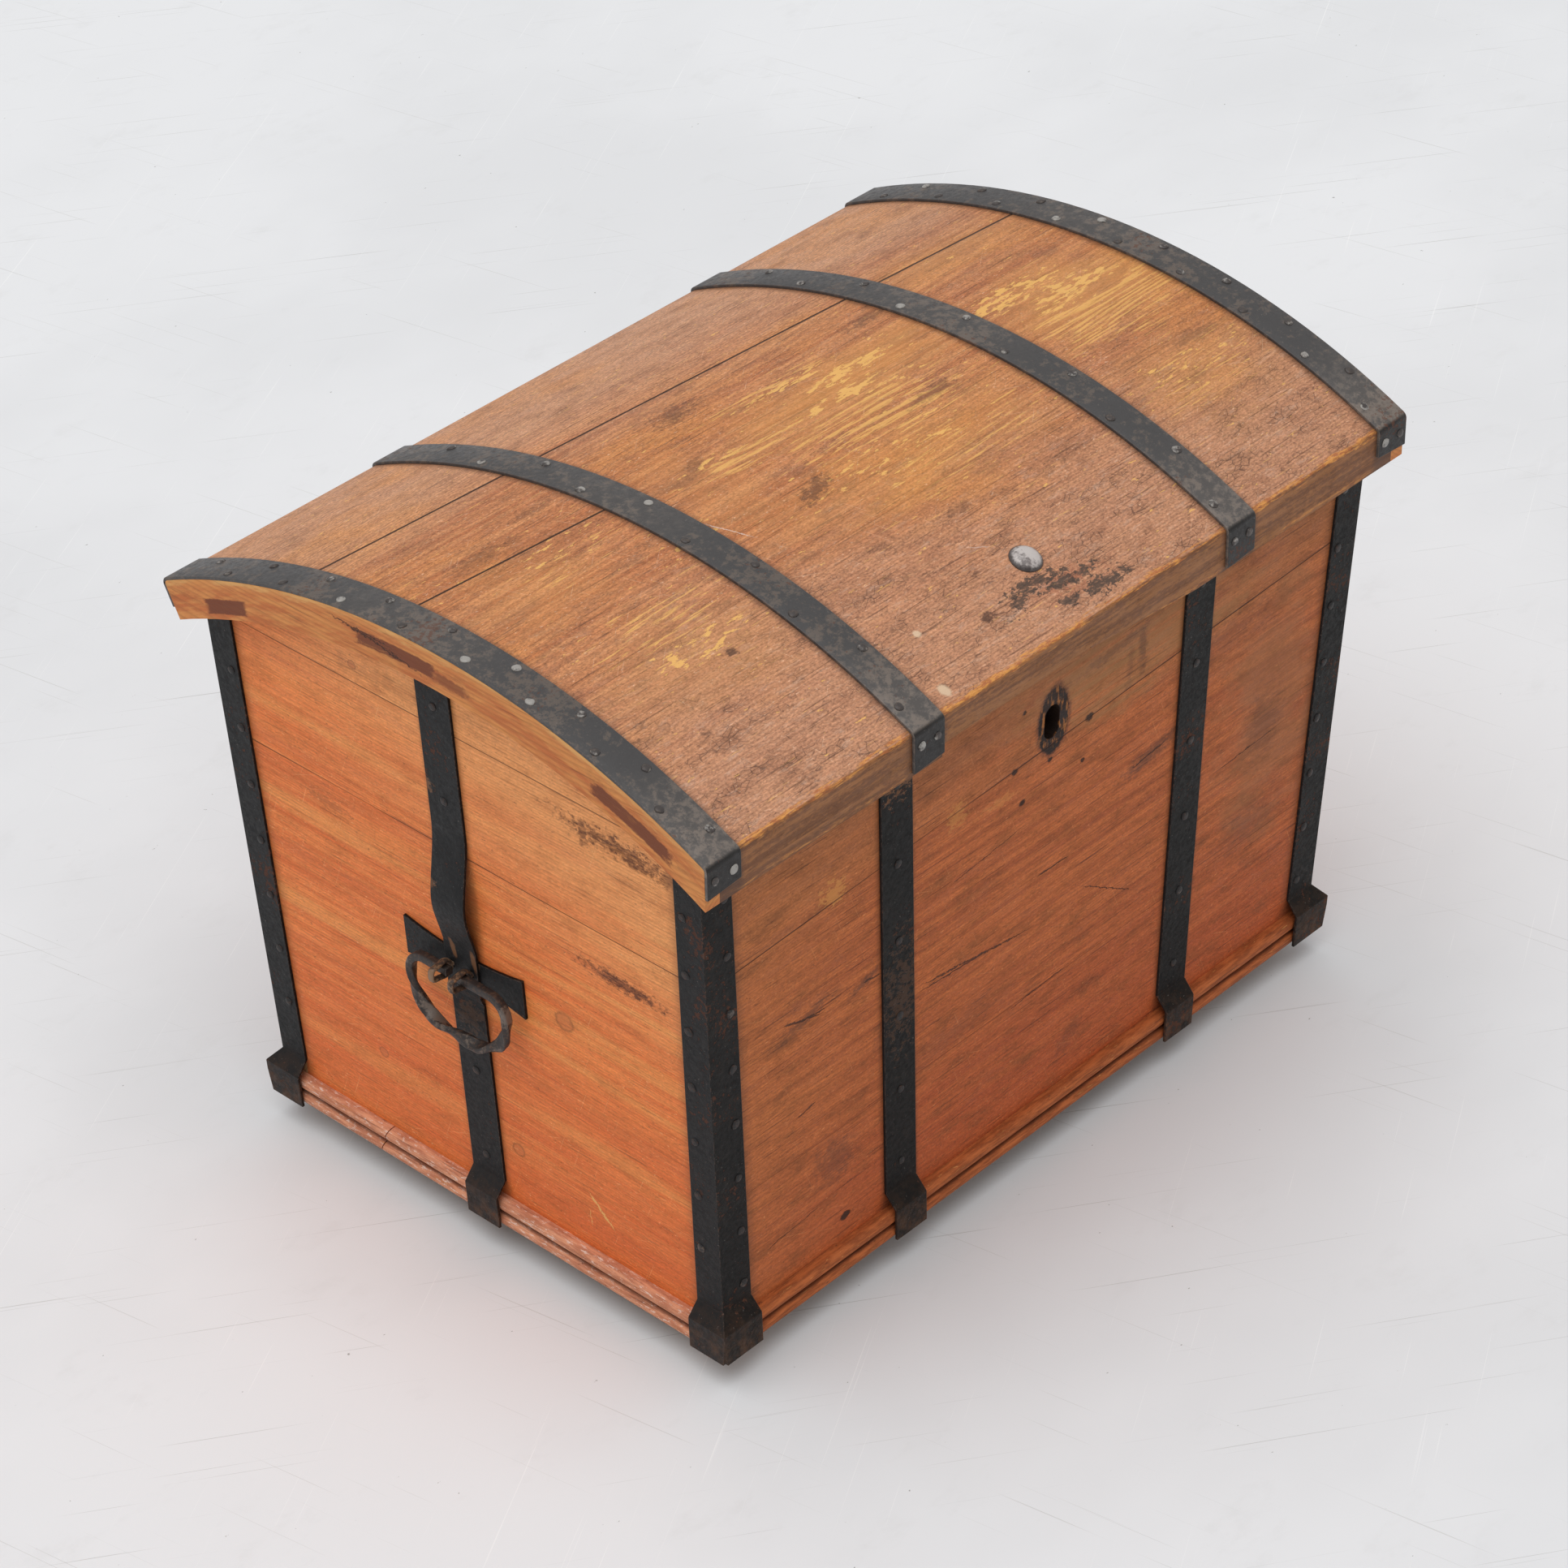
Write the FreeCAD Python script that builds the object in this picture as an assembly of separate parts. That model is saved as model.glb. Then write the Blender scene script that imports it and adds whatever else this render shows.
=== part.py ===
import FreeCAD, Part
import math
import os

# An iron-bound dome-top chest, closed. X runs along its length, the front with the keyhole faces -Y, and +Z
# is up. The origin is on the floor below the middle of the lid. All sizes are in millimetres.

V = FreeCAD.Vector

# Carcass: four splayed walls of boards, on bottom boards and two skids
carcass_length_top = 874.0
carcass_length_base = 816.0
carcass_depth_top = 582.0
carcass_depth_base = 550.0
carcass_height = 528.5
board_thickness = 25.0
bottom_thickness = 18.0
bottom_board_count = 3
skid_height = 30.0
skid_width = 60.0
skid_spacing = 560.0
skid_inset = 50.0

# Joints between the wall boards, as heights above the carcass's underside
front_low_joint = 163.0
front_high_joint_left = 412.0
front_high_joint_right = 451.0
rear_low_joint = 178.0
rear_high_joint = 372.0
end_joint = 415.0
gable_joint = 546.0

# Dovetails at the corners
pin_pitch = 60.0
first_pin_height = 91.0
pin_width = 10.0
dovetail_slope = 1.0 / 6.0
top_tail_height = 14.0

# Base moulding with two reeds
moulding_height = 30.0
moulding_reach = 12.0
reed_radius = 7.0
moulding_break_y = 145.0
moulding_break_gap = 1.2
moulding_break_lean = 0.35

# Lid: coopered boards between two arched end cleats
lid_end_overhang = 23.0
lid_front_overhang = 28.0
arch_radius = 724.0
lid_thickness = 26.0
cleat_height = 37.0
cleat_clearance = 1.1
seat_gap = 0.3
arris_radius = 4.0
front_lid_joint = -140.0
middle_lid_joint_left = 46.0
middle_lid_joint_right = -14.0
rear_lid_joint_left = 168.6
rear_lid_joint_right = 111.7
lip_clearance = 3.0
lip_end_x = -173.0
lip_restart_x = 20.0
lip_taper_length = 145.0

# Iron bands over the lid
band_thickness = 3.0
end_band_width = 40.0
hinge_band_width = 38.0
left_hinge_x = -192.0
right_hinge_x = 222.0
end_band_drop = 28.0
end_band_rear_drop = 25.0
band_end_slant = 3.0

# Strap hinges
hinge_pin_radius = 4.0
pin_fit = 0.03
knuckle_fit = 0.08
knuckle_gap = 0.5
middle_knuckle_width = 13.0
knuckle_side_gap = 0.6
pin_head_radius = 6.0
pin_head_length = 2.2
pin_head_sides = 8

# Straps on the walls
strap_thickness = 3.0
strap_width = 40.0
left_front_strap_top_x = -202.0
left_front_strap_base_x = -179.0
right_front_strap_top_x = 206.0
right_front_strap_base_x = 199.0
corner_front_leg = 36.0
corner_end_leg = 31.0
corner_slit_width = 3.0
corner_slit_height = 24.0
moulding_gap = 0.3
jog_height = 14.0
strap_top_gap = 1.2
end_strap_y = 8.0
end_strap_top = 596.0
end_strap_top_slant = 4.0
bow_top = 440.0
bow_middle = 355.0
bow_reach = 11.0

# Handles on both ends
handle_height = 288.0
plate_length = 146.0
plate_end_height = 43.0
plate_waist = 26.0
plate_thickness = 3.0
eye_spacing = 24.0
eye_width = 5.0
eye_wall = 3.8
eye_sides = 12
eye_fit = 0.08
eye_leg = 5.0
eye_leg_clearance = 0.3
eye_clearance = 0.3
clinch_length = 12.0
clinch_thickness = 2.5
bail_width = 118.0
bail_drop = 67.0
bail_offset_y = -5.0
bail_bar = 8.0
bail_end_gap = 10.0
bail_top_corner = 14.0
bail_low_corner = 34.0
bail_twist_degrees = 540.0
bail_station_length = 9.0

# Nails: low hammered heads, one size all over
nail_radius = 5.0
nail_height = 2.0
nail_sides = 6
end_band_nail_pitch = 74.0
hinge_band_nail_pitch = 62.0
strap_nail_pitch = 85.0
corner_nail_pitch = 62.0
end_strap_nail_pitch = 100.0
nail_edge_distance = 9.0
first_nail_distance = 26.0

# Keyhole and lock
keyhole_x = 6.0
keyhole_drop = 72.0
keyhole_width = 20.0
keyhole_length = 35.0
plate_keyhole_width = 9.0
plate_keyhole_length = 26.0
lock_plate_length = 124.0
lock_plate_height = 118.0
lock_plate_thickness = 2.5
lock_plate_top_gap = 6.0
lock_offset = 22.0
case_length = 108.0
case_height = 104.0
case_depth = 24.0
case_wall = 2.0
hasp_x = 17.3
hasp_thickness = 5.0
hasp_width = 16.0
hasp_reach = 48.0
hasp_leaf_width = 28.0
hasp_leaf_length = 66.0
hasp_leaf_thickness = 3.0
hasp_slot_clearance = 2.0
hasp_wall = 4.0
bolt_height = 14.0
bolt_thickness = 7.0
bolt_length = 64.0
bolt_clearance = 1.1
bolt_tail_gap = 3.8
guide_width = 8.0
guide_wall = 5.0
guide_clearance = 0.3
bolt_lug_width = 18.0
bolt_lug_drop = 12.0
key_notch_width = 8.0
spring_thickness = 1.2
spring_width = 6.0
spring_rise = 4.0
rivet_setback = 5.0
rivet_head_radius = 15.5
rivet_head_height = 7.0
rivet_sides = 16
rivet_rings = 3
rivet_shank_radius = 4.0
rivet_fit = 0.1

# Heights and reaches that follow from the sizes above
base_z = skid_height
lid_bottom_z = base_z + carcass_height
end_splay = (carcass_length_top - carcass_length_base) / 2 / carcass_height
front_splay = (carcass_depth_top - carcass_depth_base) / 2 / carcass_height
lid_half_length = carcass_length_top / 2 + lid_end_overhang
lid_front_reach = carcass_depth_top / 2 + lid_front_overhang
cleat_inner_radius = arch_radius - cleat_height
lid_inner_radius = arch_radius - lid_thickness
arch_z = lid_bottom_z - math.sqrt(cleat_inner_radius ** 2 - lid_front_reach ** 2)
strap_top_radius = cleat_inner_radius - strap_top_gap
far = carcass_length_top + lid_inner_radius


def half_length(z):
    """Half the carcass's length over the outer faces of its end boards, at height z."""
    return carcass_length_base / 2 + (z - base_z) * end_splay


def half_depth(z):
    """Half the carcass's depth over the outer faces of its front and rear boards, at height z."""
    return carcass_depth_base / 2 + (z - base_z) * front_splay


cleat_inner_x = half_length(arch_z + lid_inner_radius) + cleat_clearance

# The hinge pins' axis, and the lean of the lid's rear face, which brings the bands tangent to their knuckles
knuckle_radius = hinge_pin_radius + pin_fit + band_thickness
pin_z = lid_bottom_z
pin_y = half_depth(pin_z) + knuckle_gap + knuckle_radius
pin_reach = math.hypot(pin_y, pin_z - arch_z)
rear_angle = math.atan2(pin_y, pin_z - arch_z) + math.asin((knuckle_radius - band_thickness) / pin_reach)
rear_up = V(0, math.sin(rear_angle), math.cos(rear_angle))
rear_out = V(0, math.cos(rear_angle), -math.sin(rear_angle))
arch_centre = V(0, 0, arch_z)


def box(x0, x1, y0, y1, z0, z1):
    return Part.makeBox(x1 - x0, y1 - y0, z1 - z0, V(x0, y0, z0))


def half_space(point, normal):
    """A block, larger than the chest, that fills the side of a plane that its normal points to."""
    block = Part.makeBox(2 * far, 2 * far, 2 * far, V(-far, -far, 0))
    block.Placement = FreeCAD.Placement(point, FreeCAD.Rotation(V(0, 0, 1), normal))
    return block


def split(shape, point, normal):
    """The part of a shape behind a plane, and the part in front of it."""
    front = half_space(point, normal)
    return shape.cut(front), shape.common(front)


def polygon(points):
    return Part.Face(Part.makePolygon(points + points[:1]))


def arch(radius):
    """The solid cylinder below the lid's arch, at the given radius."""
    return Part.makeCylinder(radius, 2 * far, V(-far, 0, arch_z), V(1, 0, 0))


def frustum(inset, z0, z1):
    """The carcass's splayed outer form, drawn in by an inset, between two heights."""
    wires = []
    for z in (z0, z1):
        x = half_length(z) - inset
        y = half_depth(z) - inset
        corners = [V(-x, -y, z), V(x, -y, z), V(x, y, z), V(-x, y, z)]
        wires.append(Part.makePolygon(corners + corners[:1]))
    return Part.makeLoft(wires, True, True)


def on_wall(side, across, z, outward):
    """The point at a height and place across a wall, a distance outward from its splayed outer face."""
    if side == "front":
        return V(across, -half_depth(z) - outward, z)
    if side == "rear":
        return V(across, half_depth(z) + outward, z)
    if side == "left":
        return V(-half_length(z) - outward, across, z)
    return V(half_length(z) + outward, across, z)


def outward_normal(side):
    normals = {
        "front": V(0, -1, -front_splay),
        "rear": V(0, 1, -front_splay),
        "left": V(-1, 0, -end_splay),
        "right": V(1, 0, -end_splay),
    }
    return normals[side].normalize()


def along(side):
    return V(1, 0, 0) if side in ("front", "rear") else V(0, 1, 0)


def skin(side, inner, outer):
    """A sheet that follows a wall all along it, between two outlines given as (height, distance outward)."""
    edges = Part.makePolygon([on_wall(side, -far, z, out) for z, out in inner + outer[::-1] + inner[:1]])
    return Part.Face(edges).extrude(along(side) * (2 * far))


def flat_skin(side, out0, out1, z0, z1):
    return skin(side, [(z0, out0), (z1, out0)], [(z0, out1), (z1, out1)])


def cookie(side, outline):
    """A prism through a wall, from an outline of (place across, height)."""
    if side in ("front", "rear"):
        return polygon([V(x, -far, z) for x, z in outline]).extrude(V(0, 2 * far, 0))
    return polygon([V(-far, y, z) for y, z in outline]).extrude(V(2 * far, 0, 0))


def mirror_x(shape):
    return shape.mirror(V(0, 0, 0), V(1, 0, 0))


def mirror_y(shape):
    return shape.mirror(V(0, 0, 0), V(0, 1, 0))


def forged_head(steps, sides, point, normal):
    """A hammered head with flat sides, through rings of (radius, height). A last radius of 0 is a point."""
    turns = [2 * math.pi * i / sides for i in range(sides)]
    rings = [[V(r * math.cos(t), r * math.sin(t), height) for t in turns] for r, height in steps]
    pointed = steps[-1][0] == 0
    faces = [polygon(rings[0])]
    for low, high in zip(rings, rings[1:]):
        for i in range(sides):
            corners = [low[i - 1], low[i], high[i], high[i - 1]]
            if pointed and high is rings[-1]:
                corners.pop()
            faces.append(polygon(corners))
    if not pointed:
        faces.append(polygon(rings[-1]))
    head = Part.Solid(Part.Shell(faces))
    if head.Volume < 0:
        head.reverse()
    head.Placement = FreeCAD.Placement(point, FreeCAD.Rotation(V(0, 0, 1), normal))
    return head


def export(name, shape):
    solids = shape.Solids
    kept = solids[0] if len(solids) == 1 else Part.makeCompound(solids)
    kept.exportStep("parts/" + name + ".step")
    faults = [s for s in solids if not s.isValid() or s.Volume <= 0]
    print(name, "solids", len(solids), "faces", len(kept.Faces), "faults", len(faults))


def dovetail_sockets(side_sign):
    """The sockets that the end board's pins fill, at the front wall's end on one side."""
    sockets = []
    top = lid_bottom_z - top_tail_height
    height = base_z + first_pin_height
    while height <= top:
        outline = []
        for up, reach in ((-1, "out"), (1, "out"), (1, "in"), (-1, "in")):
            spread = 0 if reach == "out" else board_thickness * dovetail_slope
            z = height + up * (pin_width / 2 + spread)
            x = half_length(z) - board_thickness
            if reach == "out":
                x = half_length(z) + board_thickness * dovetail_slope
            outline.append((side_sign * x, z))
        sockets.append(cookie("front", outline))
        height += pin_pitch
    return sockets


def carcass():
    """Four walls with their tops cut to the lid's arch, dovetailed and cut into boards."""
    crown_z = arch_z + arch_radius
    walls_z = base_z + bottom_thickness
    hollow = frustum(board_thickness, base_z, crown_z)
    form = frustum(0, walls_z, crown_z).common(arch(lid_inner_radius - seat_gap))
    ring = form.cut(hollow)
    sockets = Part.makeCompound(dovetail_sockets(-1) + dovetail_sockets(1))
    reach = crown_z
    front_zone = flat_skin("front", -board_thickness, board_thickness, base_z - reach, 2 * reach)
    rear_zone = flat_skin("rear", -board_thickness, board_thickness, base_z - reach, 2 * reach)
    front = ring.common(front_zone).cut(sockets)
    rear = ring.common(rear_zone).cut(sockets)
    ends = ring.cut(front).cut(rear)
    left = ends.common(half_space(V(0, 0, 0), V(-1, 0, 0)))
    right = ends.common(half_space(V(0, 0, 0), V(1, 0, 0)))

    slant = V(-(front_high_joint_right - front_high_joint_left), 0, carcass_length_top)
    high_joint = (front_high_joint_left + front_high_joint_right) / 2
    up = V(0, 0, 1)
    lower, rest = split(front, V(0, 0, base_z + front_low_joint), up)
    middle, upper = split(rest, V(0, 0, base_z + high_joint), slant)
    upper = upper.cut(keyhole(keyhole_width, keyhole_length))
    boards = {"front_board_lower": lower, "front_board_middle": middle, "front_board_upper": upper}
    lower, rest = split(rear, V(0, 0, base_z + rear_low_joint), up)
    middle, upper = split(rest, V(0, 0, base_z + rear_high_joint), up)
    boards.update({"rear_board_lower": lower, "rear_board_middle": middle, "rear_board_upper": upper})
    for side, wall in (("left", left), ("right", right)):
        wall = wall.cut(eye_leg_holes(side))
        lower, rest = split(wall, V(0, 0, base_z + end_joint), up)
        upper, gable = split(rest, V(0, 0, base_z + gable_joint), up)
        boards[side + "_end_board_lower"] = lower
        boards[side + "_end_board_upper"] = upper
        boards[side + "_gable_board"] = gable
    return boards


def keyhole(width, length):
    """An upright slot with round ends, through the front wall and the lock's plate."""
    z = lid_bottom_z - keyhole_drop
    radius = width / 2
    straight = (length - width) / 2
    start_y = -carcass_depth_top / 2 - board_thickness / 2
    depth = 2 * board_thickness
    ends = []
    for end_z in (z - straight, z + straight):
        ends.append(Part.makeCylinder(radius, depth, V(keyhole_x, start_y, end_z), V(0, 1, 0)))
    middle = Part.makeBox(width, depth, 2 * straight, V(keyhole_x - radius, start_y, z - straight))
    return middle.fuse(ends).removeSplitter()


def bottom_boards():
    floor = frustum(0, base_z, base_z + bottom_thickness)
    width = carcass_depth_base / bottom_board_count
    pieces = []
    for i in range(1, bottom_board_count):
        edge = -carcass_depth_base / 2 + i * width
        piece, floor = split(floor, V(0, edge, 0), V(0, 1, 0))
        pieces.append(piece)
    pieces.append(floor)
    return Part.makeCompound([s for p in pieces for s in p.Solids])


def skids():
    reach = carcass_depth_base / 2 - skid_inset
    pieces = []
    for side in (-1, 1):
        x = side * skid_spacing / 2
        skid = box(x - skid_width / 2, x + skid_width / 2, -reach, reach, 0, base_z)
        ends = []
        for edge in skid.Edges:
            middle = edge.CenterOfMass
            if abs(middle.z) < 0.1 and abs(abs(middle.y) - reach) < 0.1:
                ends.append(edge)
        pieces.append(skid.makeChamfer(skid_height / 3, ends))
    return Part.makeCompound(pieces)


def moulding(side):
    """Two reeds one above the other, behind them a flat back that follows the splayed wall."""
    crest = moulding_reach - reed_radius
    low = base_z + reed_radius
    high = base_z + moulding_height - reed_radius
    back = -board_thickness / 2

    def at(out, z):
        return on_wall(side, -far, base_z, out) + V(0, 0, z - base_z)

    edges = [
        Part.LineSegment(at(back, base_z), at(crest, base_z)),
        Part.Arc(at(crest, base_z), at(moulding_reach, low), at(crest, low + reed_radius)),
        Part.LineSegment(at(crest, low + reed_radius), at(crest, high - reed_radius)),
        Part.Arc(at(crest, high - reed_radius), at(moulding_reach, high), at(crest, high + reed_radius)),
        Part.LineSegment(at(crest, high + reed_radius), at(back, base_z + moulding_height)),
        Part.LineSegment(at(back, base_z + moulding_height), at(back, base_z)),
    ]
    wire = Part.Wire([e.toShape() for e in edges])
    bar = Part.Face(wire).extrude(along(side) * (2 * far))
    bar = bar.cut(frustum(0, base_z - moulding_height, base_z + 2 * moulding_height))
    x = carcass_length_base / 2
    y = carcass_depth_base / 2
    mitres = {
        "front": [(V(-x, -y, 0), V(1, -1, 0)), (V(x, -y, 0), V(-1, -1, 0))],
        "rear": [(V(-x, y, 0), V(1, 1, 0)), (V(x, y, 0), V(-1, 1, 0))],
        "left": [(V(-x, -y, 0), V(-1, 1, 0)), (V(-x, y, 0), V(-1, -1, 0))],
        "right": [(V(x, -y, 0), V(1, 1, 0)), (V(x, y, 0), V(1, -1, 0))],
    }
    for corner, keep in mitres[side]:
        bar = bar.common(half_space(corner, keep))
    return bar


def broken_moulding():
    """The left moulding, cracked right across near its rear end."""
    lean = V(0, 1, moulding_break_lean)
    start = V(0, moulding_break_y, base_z)
    near = moulding("left").cut(half_space(start, lean))
    rear = moulding("left").common(half_space(start + V(0, moulding_break_gap, 0), lean))
    return Part.makeCompound(near.Solids + rear.Solids)


def rear_point(reach, outward):
    """A point up the lid's leaning rear face from the arch's centre, and a distance outward from it."""
    return arch_centre + rear_up * reach + rear_out * outward


def lid_form(grow, x0, x1):
    """The lid's outer form, filled below, grown outward all round by the given amount."""
    radius = arch_radius + grow
    low_z = lid_bottom_z - lid_thickness / 4
    front_y = -lid_front_reach - grow
    front_top = V(0, front_y, arch_z + math.sqrt(radius ** 2 - front_y ** 2))
    front_low = V(0, front_y, low_z)
    rear_top = rear_point(math.sqrt(radius ** 2 - grow ** 2), grow)
    low_reach = (low_z - arch_z + grow * math.sin(rear_angle)) / math.cos(rear_angle)
    rear_low = rear_point(low_reach, grow)
    edges = [
        Part.LineSegment(front_low, front_top),
        Part.Arc(front_top, V(0, 0, arch_z + radius), rear_top),
        Part.LineSegment(rear_top, rear_low),
        Part.LineSegment(rear_low, front_low),
    ]
    face = Part.Face(Part.Wire([e.toShape() for e in edges]))
    form = face.extrude(V(x1 - x0, 0, 0))
    form.translate(V(x0, 0, 0))
    arrises = []
    for edge in form.Edges:
        middle = edge.CenterOfMass
        for corner in (front_top, rear_top):
            if math.hypot(middle.y - corner.y, middle.z - corner.z) < 0.01:
                arrises.append(edge)
    return form.makeFillet(arris_radius + grow, arrises)


def rivet_frame():
    """The foot of the hasp's rivet on the lid's outer face, and the direction straight out of it."""
    angle = math.asin((hasp_middle_y + rivet_setback) / arch_radius)
    out = V(0, math.sin(angle), math.cos(angle))
    return V(hasp_x, 0, arch_z) + out * arch_radius, out


def lid_boards():
    shell = lid_form(0, -cleat_inner_x, cleat_inner_x).cut(arch(lid_inner_radius))
    foot, out = rivet_frame()
    hole_radius = rivet_shank_radius + rivet_fit
    shell = shell.cut(Part.makeCylinder(hole_radius, 3 * lid_thickness, foot - out * 2 * lid_thickness, out))
    joints = [
        (front_lid_joint, front_lid_joint),
        (middle_lid_joint_left, middle_lid_joint_right),
        (rear_lid_joint_left, rear_lid_joint_right),
    ]
    boards = []
    for left_y, right_y in joints:
        middle_y = (left_y + right_y) / 2
        middle = V(0, middle_y, arch_z + math.sqrt(arch_radius ** 2 - middle_y ** 2))
        line = V(2 * cleat_inner_x, right_y - left_y, 0)
        normal = (middle - arch_centre).cross(line)
        board, shell = split(shell, middle, normal)
        boards.append(board)
    boards.append(shell)
    names = ["lid_board_front", "lid_board_front_middle", "lid_board_rear_middle", "lid_board_rear"]
    return dict(zip(names, boards))


def lid_cleat():
    """The left cleat: an arched ledge of solid wood across the boards' ends."""
    return lid_form(0, -lid_half_length, -cleat_inner_x).cut(arch(cleat_inner_radius))


def lip_strips():
    """The strip under the lid's front edge, which has lost a stretch and tapers in again from the break."""
    inner_y = -half_depth(lid_bottom_z) - strap_thickness - lip_clearance
    strip = lid_form(0, -cleat_inner_x, cleat_inner_x).common(arch(lid_inner_radius))
    strip = strip.common(box(-far, far, -far, inner_y, lid_bottom_z, lid_bottom_z + cleat_height))
    left = strip.common(half_space(V(lip_end_x, 0, 0), V(-1, 0, 0)))
    top_z = lid_bottom_z + cleat_height - lid_thickness
    slope = V(top_z - lid_bottom_z + seat_gap, 0, lip_taper_length)
    right = strip.common(half_space(V(lip_restart_x, 0, top_z), slope))
    right = right.common(half_space(V(lip_restart_x, 0, lid_bottom_z), V(1, 0, 0)))
    return Part.makeCompound(left.Solids + right.Solids)


def band(x0, x1, front_drop, rear_drop):
    """A band over the lid from front to rear, turned down over both edges."""
    shape = lid_form(band_thickness, x0, x1).cut(lid_form(0, x0 - 1, x1 + 1))
    front_top_z = arch_z + math.sqrt(arch_radius ** 2 - lid_front_reach ** 2)
    slant = V(band_end_slant, 0, -(x1 - x0))
    front_end = half_space(V((x0 + x1) / 2, 0, front_top_z - front_drop), slant)
    shape = shape.cut(front_end.common(box(-far, far, -far, -lid_front_reach / 2, -far, far)))
    rear_end = half_space(rear_point(arch_radius - rear_drop, 0), V(0, 0, 0) - rear_up)
    return shape.cut(rear_end.common(box(-far, far, lid_front_reach / 2, far, -far, far)))


def hinge_band(centre_x):
    """A middle band, with the hinge's one knuckle at its rear end."""
    half = hinge_band_width / 2
    front_drop = cleat_height
    shape = band(centre_x - half, centre_x + half, front_drop, lid_thickness)
    x0 = centre_x - middle_knuckle_width / 2
    pin = V(x0, pin_y, pin_z)
    tangent_reach = (pin - arch_centre).dot(rear_up)
    top_reach = lid_inner_radius + band_thickness
    shift = V(x0, 0, 0)
    thick = band_thickness
    corners = [(tangent_reach, 0), (tangent_reach, thick), (top_reach, thick), (top_reach, 0)]
    neck = polygon([rear_point(reach, out) + shift for reach, out in corners])
    knuckle = Part.makeCylinder(knuckle_radius, middle_knuckle_width, pin, V(1, 0, 0))
    hole = Part.makeCylinder(hinge_pin_radius + knuckle_fit, middle_knuckle_width, pin, V(1, 0, 0))
    eye = neck.extrude(V(middle_knuckle_width, 0, 0)).fuse(knuckle).cut(hole)
    return shape.fuse(eye).removeSplitter()


def strap_steps():
    """A wall strap's inner face, as (height, reach): on the wall, and out over the base moulding."""
    proud = moulding_reach + moulding_gap
    jog_low = base_z + moulding_height + jog_height / 3
    return [(base_z, proud), (jog_low, proud), (jog_low + jog_height, 0), (arch_z + arch_radius, 0)]


def strap_outline(thickness):
    return [(z, out + thickness) for z, out in strap_steps()]


def wall_strap_skin(side):
    sheet = skin(side, strap_outline(0), strap_outline(strap_thickness))
    return sheet.common(arch(strap_top_radius))


def front_strap_x(top_x, base_x, z):
    return base_x + (top_x - base_x) * (z - base_z) / carcass_height


def front_strap(top_x, base_x):
    top = arch_z + arch_radius
    outline = []
    for z, side in ((base_z, -1), (base_z, 1), (top, 1), (top, -1)):
        outline.append((front_strap_x(top_x, base_x, z) + side * strap_width / 2, z))
    return wall_strap_skin("front").common(cookie("front", outline))


def corner_strap():
    """The front left corner angle. Its two legs meet along the corner, and are slit apart at the foot."""
    foot, *steps = strap_steps()
    proud = foot[1]
    edge = [(base_z, proud - corner_slit_width), (base_z + corner_slit_height, proud)] + steps
    top = steps[-1][0]
    legs = []
    for side, half, leg in (("front", half_length, corner_front_leg), ("left", half_depth, corner_end_leg)):
        outline = [(-half(z) - strap_thickness - out, z) for z, out in edge]
        outline += [(-half(z) - strap_thickness + leg, z) for z in (top, base_z)]
        legs.append(wall_strap_skin(side).common(cookie(side, outline)))
    return legs[0].fuse(legs[1]).removeSplitter()


def rear_hinge_strap(centre_x):
    """A strap down the rear wall, with the hinge's two outer knuckles at its top."""
    half = hinge_band_width / 2
    x0 = centre_x - half
    x1 = centre_x + half
    outline = [(x0, base_z), (x1, base_z), (x1, pin_z), (x0, pin_z)]
    leaf = wall_strap_skin("rear").common(cookie("rear", outline))
    notch_half = middle_knuckle_width / 2 + knuckle_side_gap
    notch_z = pin_z - knuckle_radius - knuckle_side_gap
    notch_top = pin_z + knuckle_radius
    leaf = leaf.cut(box(centre_x - notch_half, centre_x + notch_half, 0, far, notch_z, notch_top))
    width = half - notch_half
    neck_low = pin_z - 3 * knuckle_radius
    for x0 in (centre_x - half, centre_x + notch_half):
        neck = polygon([
            on_wall("rear", x0, neck_low, 0),
            on_wall("rear", x0, neck_low, strap_thickness),
            V(x0, pin_y, pin_z - knuckle_radius),
            V(x0, pin_y, pin_z),
            on_wall("rear", x0, pin_z, 0),
        ])
        knuckle = Part.makeCylinder(knuckle_radius, width, V(x0, pin_y, pin_z), V(1, 0, 0))
        leaf = leaf.fuse(neck.extrude(V(width, 0, 0))).fuse(knuckle)
    hole_radius = hinge_pin_radius + pin_fit
    hole = Part.makeCylinder(hole_radius, 2 * half, V(centre_x - half, pin_y, pin_z), V(1, 0, 0))
    return leaf.cut(hole).removeSplitter()


def hinge_pin(centre_x):
    half = hinge_band_width / 2 + seat_gap
    pin = Part.makeCylinder(hinge_pin_radius, 2 * half, V(centre_x - half, pin_y, pin_z), V(1, 0, 0))
    for side in (-1, 1):
        foot = V(centre_x + side * half, pin_y, pin_z)
        steps = [(pin_head_radius, 0), (hinge_pin_radius, pin_head_length)]
        pin = pin.fuse(forged_head(steps, pin_head_sides, foot, V(side, 0, 0)))
    return pin.removeSplitter()


# The handle's swing axis. The eyes' holes just clear the corners of the bail's square bar.
bail_corner = bail_bar / math.sqrt(2)
eye_hole_radius = bail_corner + eye_fit
eye_radius = eye_hole_radius + eye_wall
handle_z = base_z + handle_height
handle_out = plate_thickness + strap_thickness + eye_clearance + eye_radius
handle_axis_x = half_length(handle_z) + handle_out
plate_half_height = plate_end_height / 2


def eye_leg_box(side, y, half_size, out0, out1):
    """A square bar through the end wall at an eye, between two distances outward from the wall's face."""
    sign = -1 if side == "left" else 1
    ends = sorted(sign * (half_length(handle_z) + out) for out in (out0, out1))
    return box(ends[0], ends[1], y - half_size, y + half_size, handle_z - half_size, handle_z + half_size)


def eye_places():
    return [end_strap_y - eye_spacing / 2, end_strap_y + eye_spacing / 2]


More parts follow.
